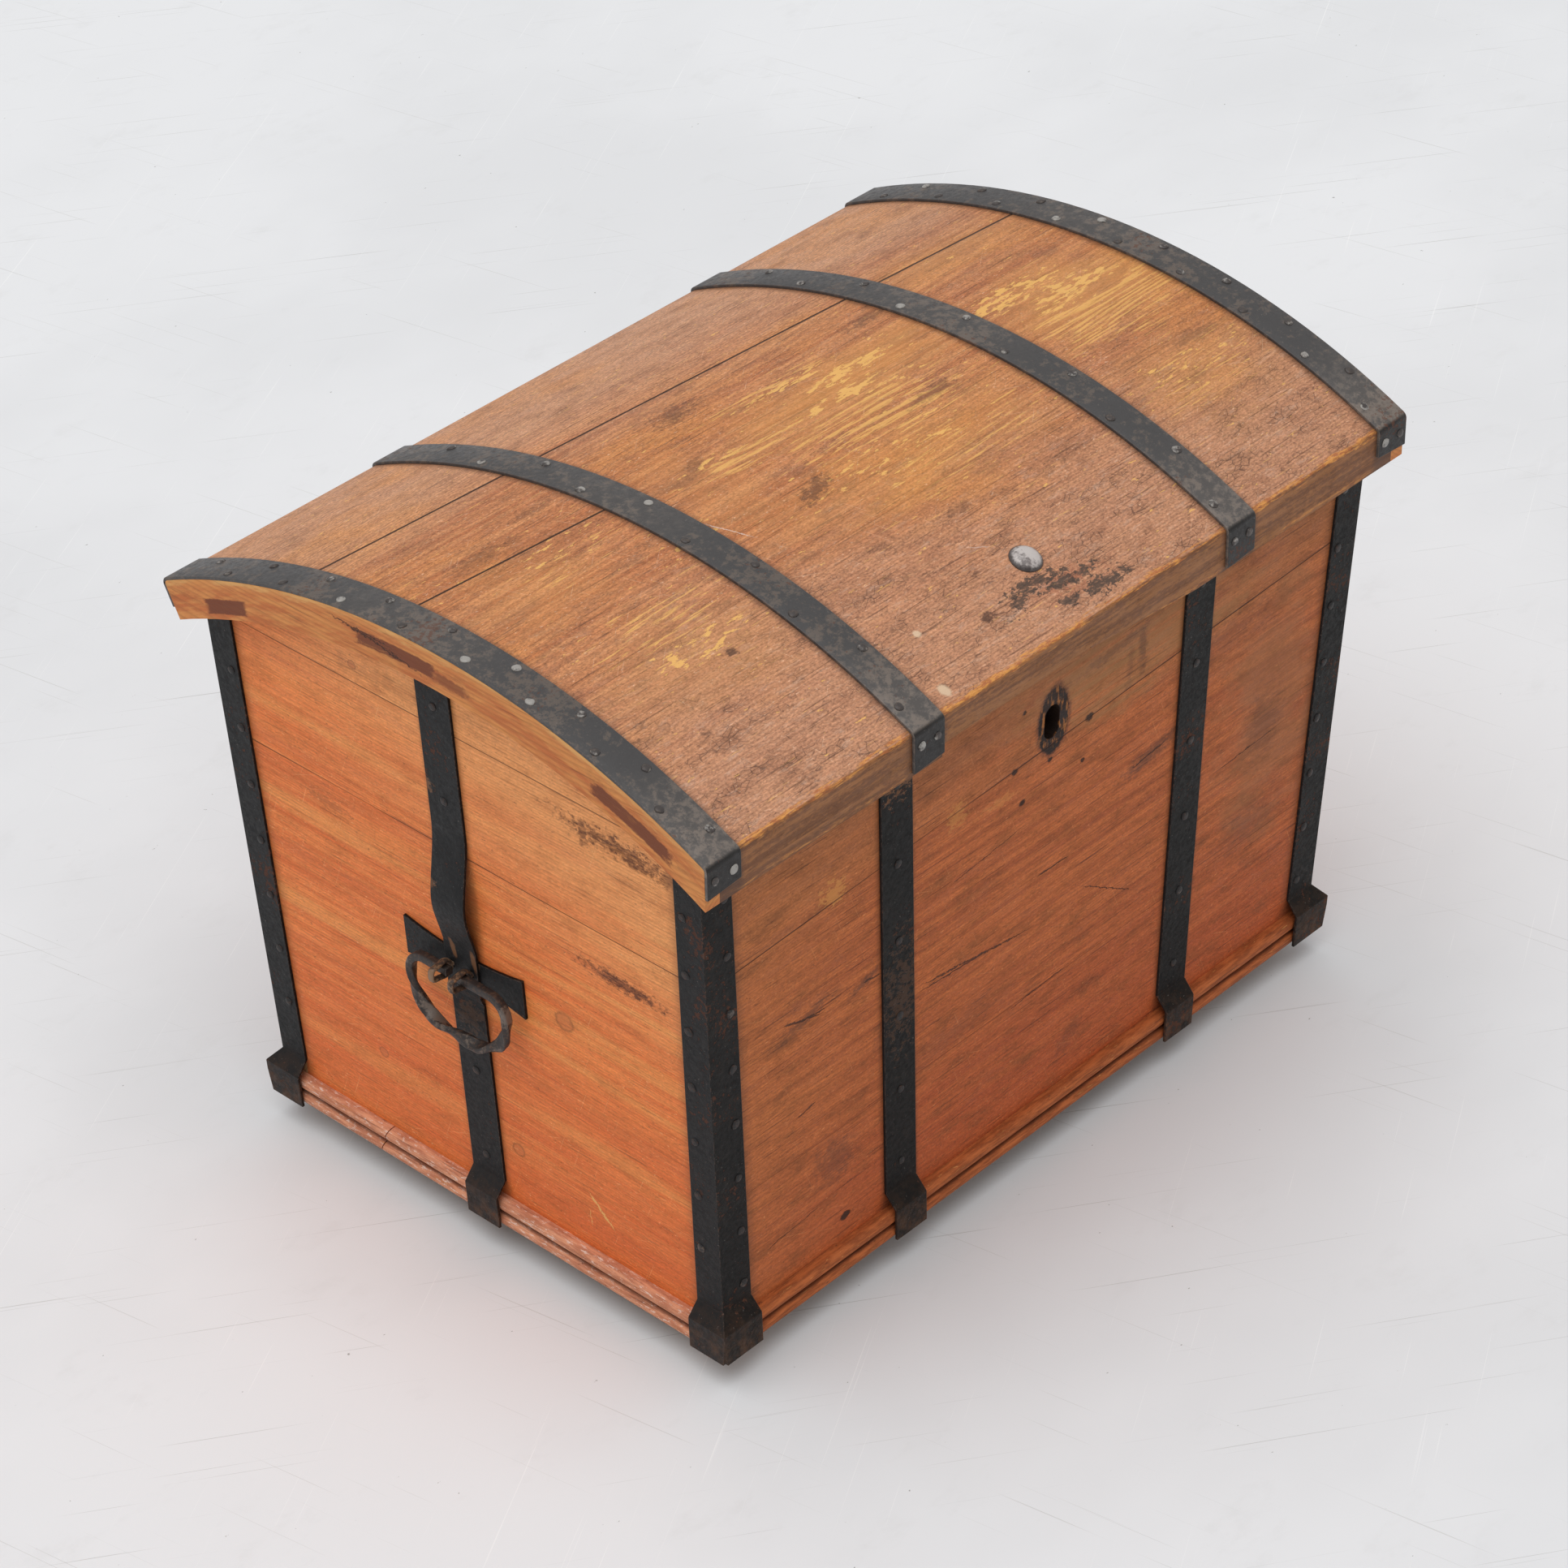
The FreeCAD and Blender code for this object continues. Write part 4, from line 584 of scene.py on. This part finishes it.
def cleat_paint(side):
    """The arched cleats: paler where worn, the left one with what is left of darker paint, and a crack."""
    graph = Graph(f"{side}_cleat_paint")
    across, reach = arch_axes(graph)
    wood = Wood(graph, graph.y, graph.z, graph.x, pith=(40, 60), spacing=4.4)
    graph.face(across, reach)
    worn = graph.noise(graph.flat, (46, 8), 3, detail=6, roughness=0.68)
    graph.colour = graph.mix((218, 146, 82), (196, 112, 62), worn.step(0.36, 0.64))
    graph.lay((150, 92, 52), wood.rings * 0.3)
    graph.lay((232, 182, 112), (worn + (reach + 16) / 50).step(0.66, 0.9) * 0.7)
    graph.lay((122, 72, 46), wood.grime.step(0.54, 0.74) * 0.5)
    graph.lay((104, 64, 42), wood.hairs.step(0.64, 0.72) * 0.5)
    if side == "left":
        patches = graph.most(
            graph.patch((256, -25), (28, 7), ragged=0.12), graph.patch((30, -20), (48, 7), ragged=0.16),
            graph.patch((-36, -23), (20, 5), ragged=0.5, edge=0.3) * 0.7,
            graph.patch((-252, -22), (46, 7), ragged=0.18))
        shown = worn.step(0.30, 0.42) * 0.35 + 0.6
        graph.lay((118, 64, 42), patches * shown)
        crack = graph.most(
            graph.line((122, -6), (-18, -33), 1.1, waver=3), graph.line((96, -11), (26, -19), 0.8, waver=2.5))
        graph.lay((54, 34, 26), crack * 0.9)
    graph.shade_all(wood.fibres * 0.24 + 0.88)
    height = 0.5 + wood.fibres * 0.2 + (worn - 0.5) * 0.9
    return graph.finish(0.6, height, depth=1, specular=0.25)


def moulding_paint(side):
    """The base mouldings: chipped along their edges, paler and pinker on the left end."""
    graph = Graph(f"{side}_moulding_paint")
    along, up, out, rise = wall_axes(graph, side)
    wood = Wood(graph, along, up, out, spacing=2.6)
    worn = graph.noise(wood.place, (30, 3.6, 5), 5, detail=5, roughness=0.7)
    chips = graph.noise(wood.place, (13, 5, 6), 9, detail=4, roughness=0.65).step(0.36, 0.29)
    main, deep, chip, low = (190, 106, 58), (142, 74, 40), (226, 160, 96), 0.62
    if side == "left":
        main, deep, chip, low = (224, 156, 120), (184, 116, 88), (238, 216, 202), 0.55
    graph.colour = graph.mix(main, deep, worn.step(0.36, 0.64))
    graph.lay(chip, wood.grit.step(low, low + 0.08) * 0.7)
    graph.lay((218, 150, 84), worn.step(0.58, 0.72) * 0.6)
    groove = abs(rise - 14).step(2.4, 0.4)
    foot = rise.step(4, 0.5)
    graph.lay((74, 48, 38), graph.most(groove, foot) * 0.6)
    graph.lay((86, 56, 44), chips * 0.55)
    graph.lay((84, 52, 40), wood.hairs.step(0.62, 0.7) * 0.5)
    graph.shade_all(wood.fibres * 0.3 + 0.85)
    height = 0.5 + wood.fibres * 0.25 + (worn - 0.5) * 1.1 - chips * 0.4
    return graph.finish(0.62, height, depth=0.9, specular=0.2)


def plain_wood(name, axes):
    """Bare pine whose grain runs along the first of the axes."""
    graph = Graph(name)
    wood = Wood(graph, *[getattr(graph, axis) for axis in axes])
    graph.colour = graph.shade(wood.bare(), 0.8)
    return graph.finish(0.7, 0.5 + wood.fibres * 0.25 - wood.rings * 0.12, depth=0.7, specular=0.2)


def worn_edges(graph, radius):
    """1 along outward corners of the metal, where hands and dust have rubbed it."""
    rounded = graph.node("Bevel", {"Radius": radius * MM}, samples=4)
    true = graph.node("NewGeometry", {}, "Normal")
    alike = graph.node("VectorMath", {0: rounded, 1: true}, "Value", operation="DOT_PRODUCT")
    return Field(graph, alike).step(0.995, 0.9)


def sheet_iron(name, paint, facing_light_and_shade, axis, bare, flaked, rust, rough, shift, specular, marks=None, rubs=None):
    """Old sheet iron in black paint: flaked in patches, with rusty chips and rubbed edges.

    The paint has a second colour where the iron faces along the axis, 0 for the ends and 1 for the front:
    painted light on the straps' end faces, with the paint's slate tone, and painted shade on the bands' front
    faces.
    Marks and rubs are functions that say where the iron is rusty, and where it is lighter: rubbed bright, and
    on the bands also a painted sheen.
    """
    graph = Graph(name)
    broad = graph.grain(9, shift, detail=6, roughness=0.75)
    wide = graph.noise(graph.vector(graph.x, graph.y, graph.z), (120, 60, 60), shift + 4, detail=2)
    dents = graph.grain(16, shift + 1, detail=2)
    chips = graph.grain(4.5, shift + 2, detail=4, roughness=0.65)
    dust = graph.grain(2.2, shift + 3, detail=2)
    side_light_mask = abs(graph.facing[axis]).step(0.5, 0.9)
    bared = (broad + (wide - 0.5) * 0.5).step(0.54 - flaked, 0.66 - flaked)
    # Faces along the axis take the second colour: painted light on the straps, painted shade on the bands
    graph.colour = graph.mix(graph.mix(paint, bare, bared), facing_light_and_shade, side_light_mask * 0.95)
    spots = (chips + (wide - 0.5) * 0.7).step(0.68 - rust * 0.03, 0.74 - rust * 0.03)
    if rubs is not None:
        # Painted sheen with wear: the bands' crown and front bends are made lighter
        rubbed = rubs(graph) * broad.step(0.42, 0.6, 0.3, 1)
        graph.lay((134, 123, 114), rubbed * (1 - side_light_mask) * 0.58)
    graph.lay((98, 60, 44), spots * 0.62)
    if marks is not None:
        graph.lay((128, 88, 60), marks(graph) * 0.75)
    graph.lay((136, 128, 122), dust.step(0.68, 0.76) * 0.4)
    edges = worn_edges(graph, 1.2)
    graph.lay((118, 100, 90), edges * chips.step(0.42, 0.6) * 0.6)
    height = 0.5 + (dents - 0.5) * 0.9 + (broad - 0.5) * 0.5 - spots * 0.1 + (dust - 0.5) * 0.05
    roughness = (chips + spots * 0.3).step(0.35, 0.8, rough - 0.06, rough + 0.2)
    return graph.finish(roughness, height, depth=0.9, specular=specular)


def band_rubs_and_sheen(graph):
    """The bands are lighter on the crown, and above the bends at the lid's front: rubbed bright, and a
    painted sheen.
    """
    across, _ = arch_axes(graph)
    return graph.most(across.step(-215, -310), abs(across - 30).step(130, 20) * 0.35)


def strap_marks(graph):
    """Rust where the straps have lost their paint: on the left ones at the front and end, and at the feet."""
    to_front = abs(graph.facing[1]).step(0.5, 0.9)
    graph.face(graph.x, graph.z)
    front = graph.most(
        graph.spot((-201, 538), (15, 13), ragged=2.2), graph.spot((-186, 300), (14, 34), ragged=3) * 0.3)
    to_left = graph.facing[0].step(-0.5, -0.9)
    graph.face(graph.y, graph.z)
    left = graph.most(
        graph.spots([(31, 509, 9, 7, 1), (30, 408, 7, 5, 0.7)], ragged=1.2),
        graph.spots([(16, 338, 3, 10, 1, -14), (-9, 334, 3, 11, 1, -8)], ragged=0.3),
        graph.spot((8, 262), (14, 14), ragged=2.2) * 0.3)
    rusty = graph.grain(13, 27, detail=6, roughness=0.75)
    feet = (graph.z + rusty * 40).step(116, 56) * rusty.step(0.40, 0.66, 0.04, 0.46)
    return graph.most(front * to_front, left * to_left, feet)


def forged_iron(name, tone, rusty, bright, rub_low, shift, rough=0.5, out=None):
    """Forged bars and heads: brown-black, with bright rubbed places.

    A head that points out along a direction is darker round its rim: painted contact shadow, with rust.
    """
    graph = Graph(name)
    broad = graph.grain(34, shift, detail=2)
    grain = graph.grain(3.4, shift + 1, detail=4, roughness=0.65)
    graph.colour = graph.mix(tone, rusty, grain.step(0.46, 0.66) * 0.7)
    rub = (broad + (grain - 0.5) * 0.4).step(rub_low, rub_low + 0.12)
    graph.lay(bright, rub * 0.8)
    if out is not None:
        # Darker round the rim of a head: painted contact shadow, with rust
        level = graph.facing[0] * out[0] + graph.facing[1] * out[1] + graph.facing[2] * out[2]
        graph.lay((52, 44, 42), (level + (grain - 0.5) * 0.3).step(0.92, 0.7) * 0.9)
    height = 0.5 + (grain - 0.5) * 0.8
    return graph.finish(rub.step(0, 1, rough, rough - 0.14), height, depth=0.5, specular=0.4)


# The CAD's own pieces and their materials
def dress(name, material):
    slots = nodes[name].data.materials
    if len(slots):
        for index in range(len(slots)):
            slots[index] = material
    else:
        slots.append(material)


def soften(name, width):
    """Rounds a CAD piece's sharp edges a little, as wear does."""
    weld = nodes[name].modifiers.new("weld", "WELD")
    weld.merge_threshold = 0.02 * MM
    bevel = nodes[name].modifiers.new("soft_edges", "BEVEL")
    bevel.width = width * MM
    bevel.segments = 2
    bevel.limit_method = "ANGLE"
    bevel.angle_limit = math.radians(35)
    bevel.use_clamp_overlap = True


for side in ("front", "rear"):
    variants(front_paint(side), [f"{side}_board_{place}" for place in ("lower", "middle", "upper")])
for side in ("left", "right"):
    ends = ("end_board_lower", "end_board_upper", "gable_board")
    variants(end_paint(side), [f"{side}_{part}" for part in ends])
    dress(f"{side}_lid_cleat", cleat_paint(side))
lid_boards = [f"lid_board_{place}" for place in ("front", "front_middle", "rear_middle", "rear")]
variants(lid_paint(), [*lid_boards, "lid_lip_strips"])
for side in ("front", "rear", "left", "right"):
    dress(f"{side}_moulding", moulding_paint(side))
dress("bottom_boards", plain_wood("bottom_wood", "xyz"))
dress("skids", plain_wood("skid_wood", "yxz"))

# The straps' end faces are lighter: painted light, with the paint's slate tone
strap_iron = sheet_iron(
    "strap_iron", paint=(16, 15, 14), facing_light_and_shade=(34, 34, 35), axis=0, bare=(30, 26, 23), flaked=0.02, rust=1,
    rough=0.5, shift=1, specular=0.16, marks=strap_marks)
# The bands' front faces are darker: painted shade
band_iron = sheet_iron(
    "band_iron", paint=(68, 66, 66), facing_light_and_shade=(20, 16, 14), axis=1, bare=(96, 86, 79), flaked=0.05, rust=0.3,
    rough=0.44, shift=5, specular=0.4, rubs=band_rubs_and_sheen)
handle_iron = forged_iron("handle_iron", (44, 38, 36), (86, 64, 50), (112, 98, 88), 0.58, 7)
lock_iron = forged_iron("lock_iron", (52, 46, 43), (92, 68, 52), (120, 112, 106), 0.62, 9)
for name in nodes:
    if name.endswith(("_strap", "handle_plate")):
        dress(name, strap_iron)
    if name.endswith(("_band", "hinge_pin")):
        dress(name, band_iron)
    if name.startswith("lock_") or name == "lid_hasp":
        dress(name, lock_iron)
    if name.endswith(("_board_lower", "_board_middle", "_board_upper", "gable_board")):
        soften(name, 0.3)
    if name.endswith(("_strap", "_band", "handle_plate")):
        soften(name, 0.6)
    if name.startswith("lid_board"):
        soften(name, 0.4)
    if name.endswith(("_moulding", "_lid_cleat")):
        soften(name, 1.2)


# Pieces made here in place of the CAD's simpler ones
def add_object(name, data):
    thing = bpy.data.objects.new(name, data)
    bpy.context.scene.collection.objects.link(thing)
    return thing


def make_piece(name, vertices, faces, material, body, replaced):
    """A new piece, smooth but for its end caps, which have more than four corners."""
    mesh = bpy.data.meshes.new(name)
    mesh.from_pydata([tuple(v) for v in vertices], [], faces)
    mesh.materials.append(material)
    for face in mesh.polygons:
        face.use_smooth = len(face.vertices) <= 4
    piece = add_object(name, mesh)
    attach(piece, body)
    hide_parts(replaced)


def skin(faces, first, rings, sides, flip=False, closed=False):
    """Adds the faces from each ring of vertices to the next, and from the last to the first if closed."""
    for ring in range(rings if closed else rings - 1):
        near = first + ring * sides
        far = first + (ring + 1) % rings * sides
        for i in range(sides):
            k = (i + 1) % sides
            if flip:
                i, k = k, i
            faces.append((near + i, near + k, far + k, far + i))


def skin_bar(faces, first, rings, sides, flip):
    """As skin, with a cap at each end."""
    skin(faces, first, rings, sides, flip)
    start = tuple(range(first, first + sides))
    end = tuple(range(first + (rings - 1) * sides, first + rings * sides))
    faces += [start, end[::-1]] if flip else [start[::-1], end]


def soft_square(turns):
    """Points round a square of half size 1 with soft corners, at the same turns in each quarter."""
    points = []
    for turn in [math.radians(turn + quarter) for quarter in (0, 90, 180, 270) for turn in turns]:
        reach = (abs(math.cos(turn)) ** 8 + abs(math.sin(turn)) ** 8) ** (-1 / 8)
        points.append((reach * math.cos(turn), reach * math.sin(turn)))
    return points


def nail_places(name):
    """Each nail's foot and direction, from a CAD node's heads, whose pointed tip is nearest their middle."""
    mesh = bmesh.new()
    mesh.from_mesh(nodes[name].data)
    bmesh.ops.remove_doubles(mesh, verts=mesh.verts, dist=0.01 * MM)
    seen = set()
    places = []
    for vertex in mesh.verts:
        if vertex in seen:
            continue
        # The head's vertices, a list that grows while it is walked
        island = [vertex]
        seen.add(vertex)
        for known in island:
            for edge in known.link_edges:
                other = edge.other_vert(known)
                if other not in seen:
                    seen.add(other)
                    island.append(other)
        total = sum((v.co for v in island), Vector())
        tip = min(island, key=lambda v: (v.co - total / len(island)).length)
        foot = (total - tip.co) / (len(island) - 1)
        places.append((foot, (tip.co - foot).normalized()))
    mesh.free()
    return sorted(places, key=lambda place: tuple(round(c, 5) for c in place[0]))


def lathe(vertices, faces, foot, out, profile, sides, draw, wobble=0):
    """Adds a round form to the lists, from rings of (radius, height) ending in a point on its axis."""
    side = out.orthogonal().normalized()
    other = out.cross(side)
    start = draw.uniform(0, math.tau)
    waves = [(draw.uniform(0, math.tau), draw.uniform(0.3, 1) * wobble) for _ in range(3)]
    first = len(vertices)
    for radius, height in profile[:-1]:
        for i in range(sides):
            turn = math.tau * i / sides
            swell = 1 + sum(size * math.sin((k + 2) * turn + phase) for k, (phase, size) in enumerate(waves))
            spoke = side * math.cos(turn + start) + other * math.sin(turn + start)
            vertices.append(foot + out * height + spoke * (radius * swell))
    vertices.append(foot + out * profile[-1][1])
    rings = len(profile) - 1
    skin(faces, first, rings, sides)
    top = first + rings * sides
    for i in range(sides):
        faces.append((top - sides + i, top - sides + (i + 1) % sides, top))
    faces.append(tuple(range(first + sides - 1, first - 1, -1)))


def domed_nails(node, piece_name, body, material, seed):
    """Uneven hammered heads over the places of a node's nails."""
    draw = random.Random(seed)
    vertices = []
    faces = []
    for foot, out in nail_places(node):
        radius = draw.uniform(*NAIL_RADII) * MM
        height = draw.uniform(*NAIL_HEIGHTS) * MM
        profile = [(radius * r, height * h) for r, h in NAIL_PROFILE]
        lathe(vertices, faces, foot, out, profile, 14, draw, wobble=0.05)
    make_piece(piece_name, vertices, faces, material, body, node)


lid_nail_iron = forged_iron("lid_nail_iron", (66, 60, 58), (92, 80, 72), (172, 168, 162), 0.5, 3, rough=0.4)
wall_nail_iron = forged_iron("wall_nail_iron", (28, 26, 26), (70, 48, 38), (92, 80, 72), 0.62, 4)
domed_nails("lid_nails", "domed_lid_nails", "lid", lid_nail_iron, 3)
for seed, place in enumerate(("corner", "front", "rear", "left", "right"), 4):
    strap = f"{place}_end_strap" if place in ("left", "right") else f"{place}_strap"
    domed_nails(f"{strap}_nails", f"domed_{place}_nails", "chest", wall_nail_iron, seed)


def domed_rivet():
    """The big rivet's hammered dome, and its shank through the lid and the hasp."""
    foot = Vector(RIVET_FOOT) * MM
    out = Vector(RIVET_OUT)
    dome, shank = [[(r * MM, h * MM) for r, h in profile] for profile in (RIVET_DOME, RIVET_SHANK)]
    vertices = []
    faces = []
    lathe(vertices, faces, foot, out, dome, 36, random.Random(12), wobble=0.012)
    lathe(vertices, faces, foot, -out, shank, 20, random.Random(13))
    # The rivet's dark rim is painted contact shadow, with rust
    rivet_iron = forged_iron(
        "rivet_iron", (122, 114, 112), (88, 76, 70), (210, 202, 198), 0.43, 12, rough=0.34, out=RIVET_OUT)
    make_piece("domed_rivet", vertices, faces, rivet_iron, "lid", "lid_rivet")


def bail_line():
    """The middle line of a bail as (place, direction) in y and z, from one eye round to the other."""
    middle = STRAP_Y + BAIL_SHIFT
    left = middle - BAIL_HALF
    right = middle + BAIL_HALF
    low = HANDLE_Z - BAIL_DROP
    top_r, low_r = BAIL_CORNERS
    # Quarter turns as (centre, radius, start angle), each after a straight run, and a last run to the eye
    turns = [
        ((left + top_r, HANDLE_Z - top_r), top_r, 90), ((left + low_r, low + low_r), low_r, 180),
        ((right - low_r, low + low_r), low_r, 270), ((right - top_r, HANDLE_Z - top_r), top_r, 0),
        ((STRAP_Y + BAIL_GAP, HANDLE_Z), 0, 90),
    ]
    place = Vector((STRAP_Y - BAIL_GAP, HANDLE_Z))
    line = []
    for centre, radius, start in turns:
        count = round(radius * math.pi / 2 / BAIL_STEP)
        angles = [math.radians(start + 90 * i / max(count, 1)) for i in range(count + 1)]
        spokes = [Vector((math.cos(angle), math.sin(angle))) for angle in angles]
        run = Vector(centre) + spokes[0] * radius - place
        steps = max(1, round(run.length / BAIL_STEP))
        line += [(place + run * (i / steps), run.normalized()) for i in range(steps)]
        line += [(Vector(centre) + spoke * radius, Vector((-spoke.y, spoke.x))) for spoke in spokes[:-1]]
        place = Vector(centre) + spokes[-1] * radius
    line.append((place, run.normalized()))
    return line


def twisted_bail(side):
    """A bar with soft corners, square in its eyes and flatter between them, where it is twisted."""
    sign = -1 if side == "left" else 1
    draw = random.Random(21)
    line = bail_line()
    first = next(i for i, (_, run) in enumerate(line) if run.y < -0.99)
    last = max(i for i, (_, run) in enumerate(line) if run.y > 0.99)
    corners = soft_square(BAIL_SECTION)
    vertices = []
    for i, (place, run) in enumerate(line):
        share = min(max((i - first) / (last - first), 0), 1)
        twist = math.radians(BAIL_TWIST * share)
        flattened = min(share / BAIL_FLATTEN, (1 - share) / BAIL_FLATTEN, 1)
        wide = (BAIL_BAR + (BAIL_WIDE - BAIL_BAR) * flattened) * draw.uniform(0.96, 1)
        thin = (BAIL_BAR + (BAIL_THIN - BAIL_BAR) * flattened) * draw.uniform(0.96, 1)
        for near, far in corners:
            x = wide * near * math.cos(twist) - thin * far * math.sin(twist)
            across = wide * near * math.sin(twist) + thin * far * math.cos(twist)
            point = Vector((sign * HANDLE_X - sign * x, place.x - run.y * across, place.y + run.x * across))
            vertices.append(point * MM)
    faces = []
    skin_bar(faces, 0, len(line), len(corners), sign < 0)
    bail = f"{side}_bail"
    make_piece(f"{side}_twisted_bail", vertices, faces, handle_iron, bail, bail)


def swept_bar(vertices, faces, path, side, wide, thick, closed=False):
    """Adds a bar with soft arrises along a path, with half sizes wide along side and thick across it."""
    first = len(vertices)
    count = len(path)
    corners = soft_square((25, 65))
    for i, point in enumerate(path):
        before = path[i - 1] if i or closed else point
        after = path[(i + 1) % count] if i + 1 < count or closed else point
        across = side.cross((after - before).normalized())
        for near, far in corners:
            vertices.append((point + side * (wide * near) + across * (thick * far)) * MM)
    if closed:
        skin(faces, first, count, len(corners), flip=True, closed=True)
    else:
        skin_bar(faces, first, count, len(corners), flip=True)


def split_pins(side):
    """The two flat strips looped round the ends of a bail, with their legs clinched inside the wall."""
    sign = -1 if side == "left" else 1
    inner_face = HANDLE_X - EYE_LEG
    loop = []
    for i in range(15):
        turn = math.radians(90 + 180 * i / 14)
        loop.append((EYE_LOOP * math.cos(turn), EYE_LOOP * math.sin(turn)))
    for i in range(13):
        turn = math.radians(-90 + 180 * i / 12)
        tip = EYE_TIP * abs(math.sin(turn)) ** 0.6
        loop.append((EYE_REACH + EYE_TIP * math.cos(turn) ** 0.6, math.copysign(tip, turn)))
    vertices = []
    faces = []
    for y in (STRAP_Y - EYE_Y, STRAP_Y + EYE_Y):
        path = [Vector((sign * (HANDLE_X + out), y, HANDLE_Z + up)) for out, up in loop]
        swept_bar(vertices, faces, path, Vector((0, sign, 0)), EYE_HALF_WIDTH, EYE_HALF_THICK, closed=True)
        leg = [Vector((sign * x, y, HANDLE_Z)) for x in (HANDLE_X - EYE_LOOP, inner_face - CLINCH_HALF_THICK)]
        swept_bar(vertices, faces, leg, Vector((0, 1, 0)), LEG_HALF, LEG_HALF)
        tips = []
        for up in (CLINCH_REACH, -CLINCH_REACH):
            x = inner_face - CLINCH_HALF_THICK - CLINCH_GAP + up * END_SPLAY
            tips.append(Vector((sign * x, y, HANDLE_Z + up)))
        swept_bar(vertices, faces, tips, Vector((0, 1, 0)), LEG_HALF, CLINCH_HALF_THICK)
    make_piece(f"{side}_split_pins", vertices, faces, eye_iron, "chest", f"{side}_handle_eyes")


domed_rivet()
eye_iron = forged_iron("eye_iron", (62, 48, 40), (116, 86, 62), (144, 112, 84), 0.46, 17)
for side in ("left", "right"):
    twisted_bail(side)
    split_pins(side)


# The stage: a grey-white painted floor, scuffed and scratched
def floor():
    corners = [(x * FLOOR_HALF, y * FLOOR_HALF, 0) for x, y in ((-1, -1), (1, -1), (1, 1), (-1, 1))]
    mesh = bpy.data.meshes.new("floor")
    mesh.from_pydata(corners, [], [(0, 1, 2, 3)])
    graph = Graph("floor_paint")
    place = graph.vector(graph.x, graph.y, 0)
    broad = graph.noise(place, (700, 500), 2, detail=4)
    smudge = graph.noise(place, (120, 70), 6, detail=6, roughness=0.72)
    graph.colour = graph.mix((232, 233, 235), (225, 226, 228), broad.step(0.35, 0.65))
    graph.lay((212, 212, 212), smudge.step(0.55, 0.75) * 0.25)
    for turn, shift, tone in ((35, 3, (170, 168, 164)), (-28, 4, (250, 250, 250)), (80, 5, (186, 184, 180))):
        scratch = graph.noise(place, (300, 2.2, 10), shift, detail=2, turn=turn)
        graph.lay(tone, scratch.step(0.70, 0.76) * 0.45)
    dots = graph.noise(place, (9, 6), 12, detail=2)
    graph.lay((140, 136, 132), dots.step(0.775, 0.81) * 0.7)
    mesh.materials.append(graph.finish(0.6, specular=0.25))
    add_object("floor", mesh)


floor()

# A white sky, which is paler for the camera, above the floor's edge
world = bpy.data.worlds.new("studio")
bpy.context.scene.world = world
world.use_nodes = True
tree = world.node_tree
sky = tree.nodes["Background"]
backdrop = tree.nodes.new("ShaderNodeBackground")
for background, strength in ((sky, SKY), (backdrop, BACKDROP)):
    background.inputs["Color"].default_value = (1, 1, 1, 1)
    background.inputs["Strength"].default_value = strength
path = tree.nodes.new("ShaderNodeLightPath")
choice = tree.nodes.new("ShaderNodeMixShader")
tree.links.new(path.outputs["Is Camera Ray"], choice.inputs[0])
tree.links.new(sky.outputs[0], choice.inputs[1])
tree.links.new(backdrop.outputs[0], choice.inputs[2])
tree.links.new(choice.outputs[0], tree.nodes["World Output"].inputs["Surface"])

# One big soft lamp overhead, a little to the left and behind
sun = bpy.data.lights.new("overhead", "SUN")
sun.energy = SUN
sun.angle = math.radians(SUN_ANGLE)
lamp = add_object("overhead", sun)
lamp.rotation_euler = Vector(SUN_FROM).to_track_quat("Z", "Y").to_euler()

# The photograph's camera: its frame is square, and its sensor 36 mm wide
view = Matrix.Rotation(CAMERA_TURN.length, 3, CAMERA_TURN.normalized())
axes = Matrix((view[0], -view[1], -view[2])).transposed()
optics = bpy.data.cameras.new("camera")
optics.lens = CAMERA_LENS
optics.sensor_width = 36
optics.clip_end = 50
camera = add_object("camera", optics)
camera.matrix_world = Matrix.Translation(CAMERA_PLACE) @ axes.to_4x4()
bpy.context.scene.camera = camera
bpy.context.scene.view_settings.view_transform = "Standard"
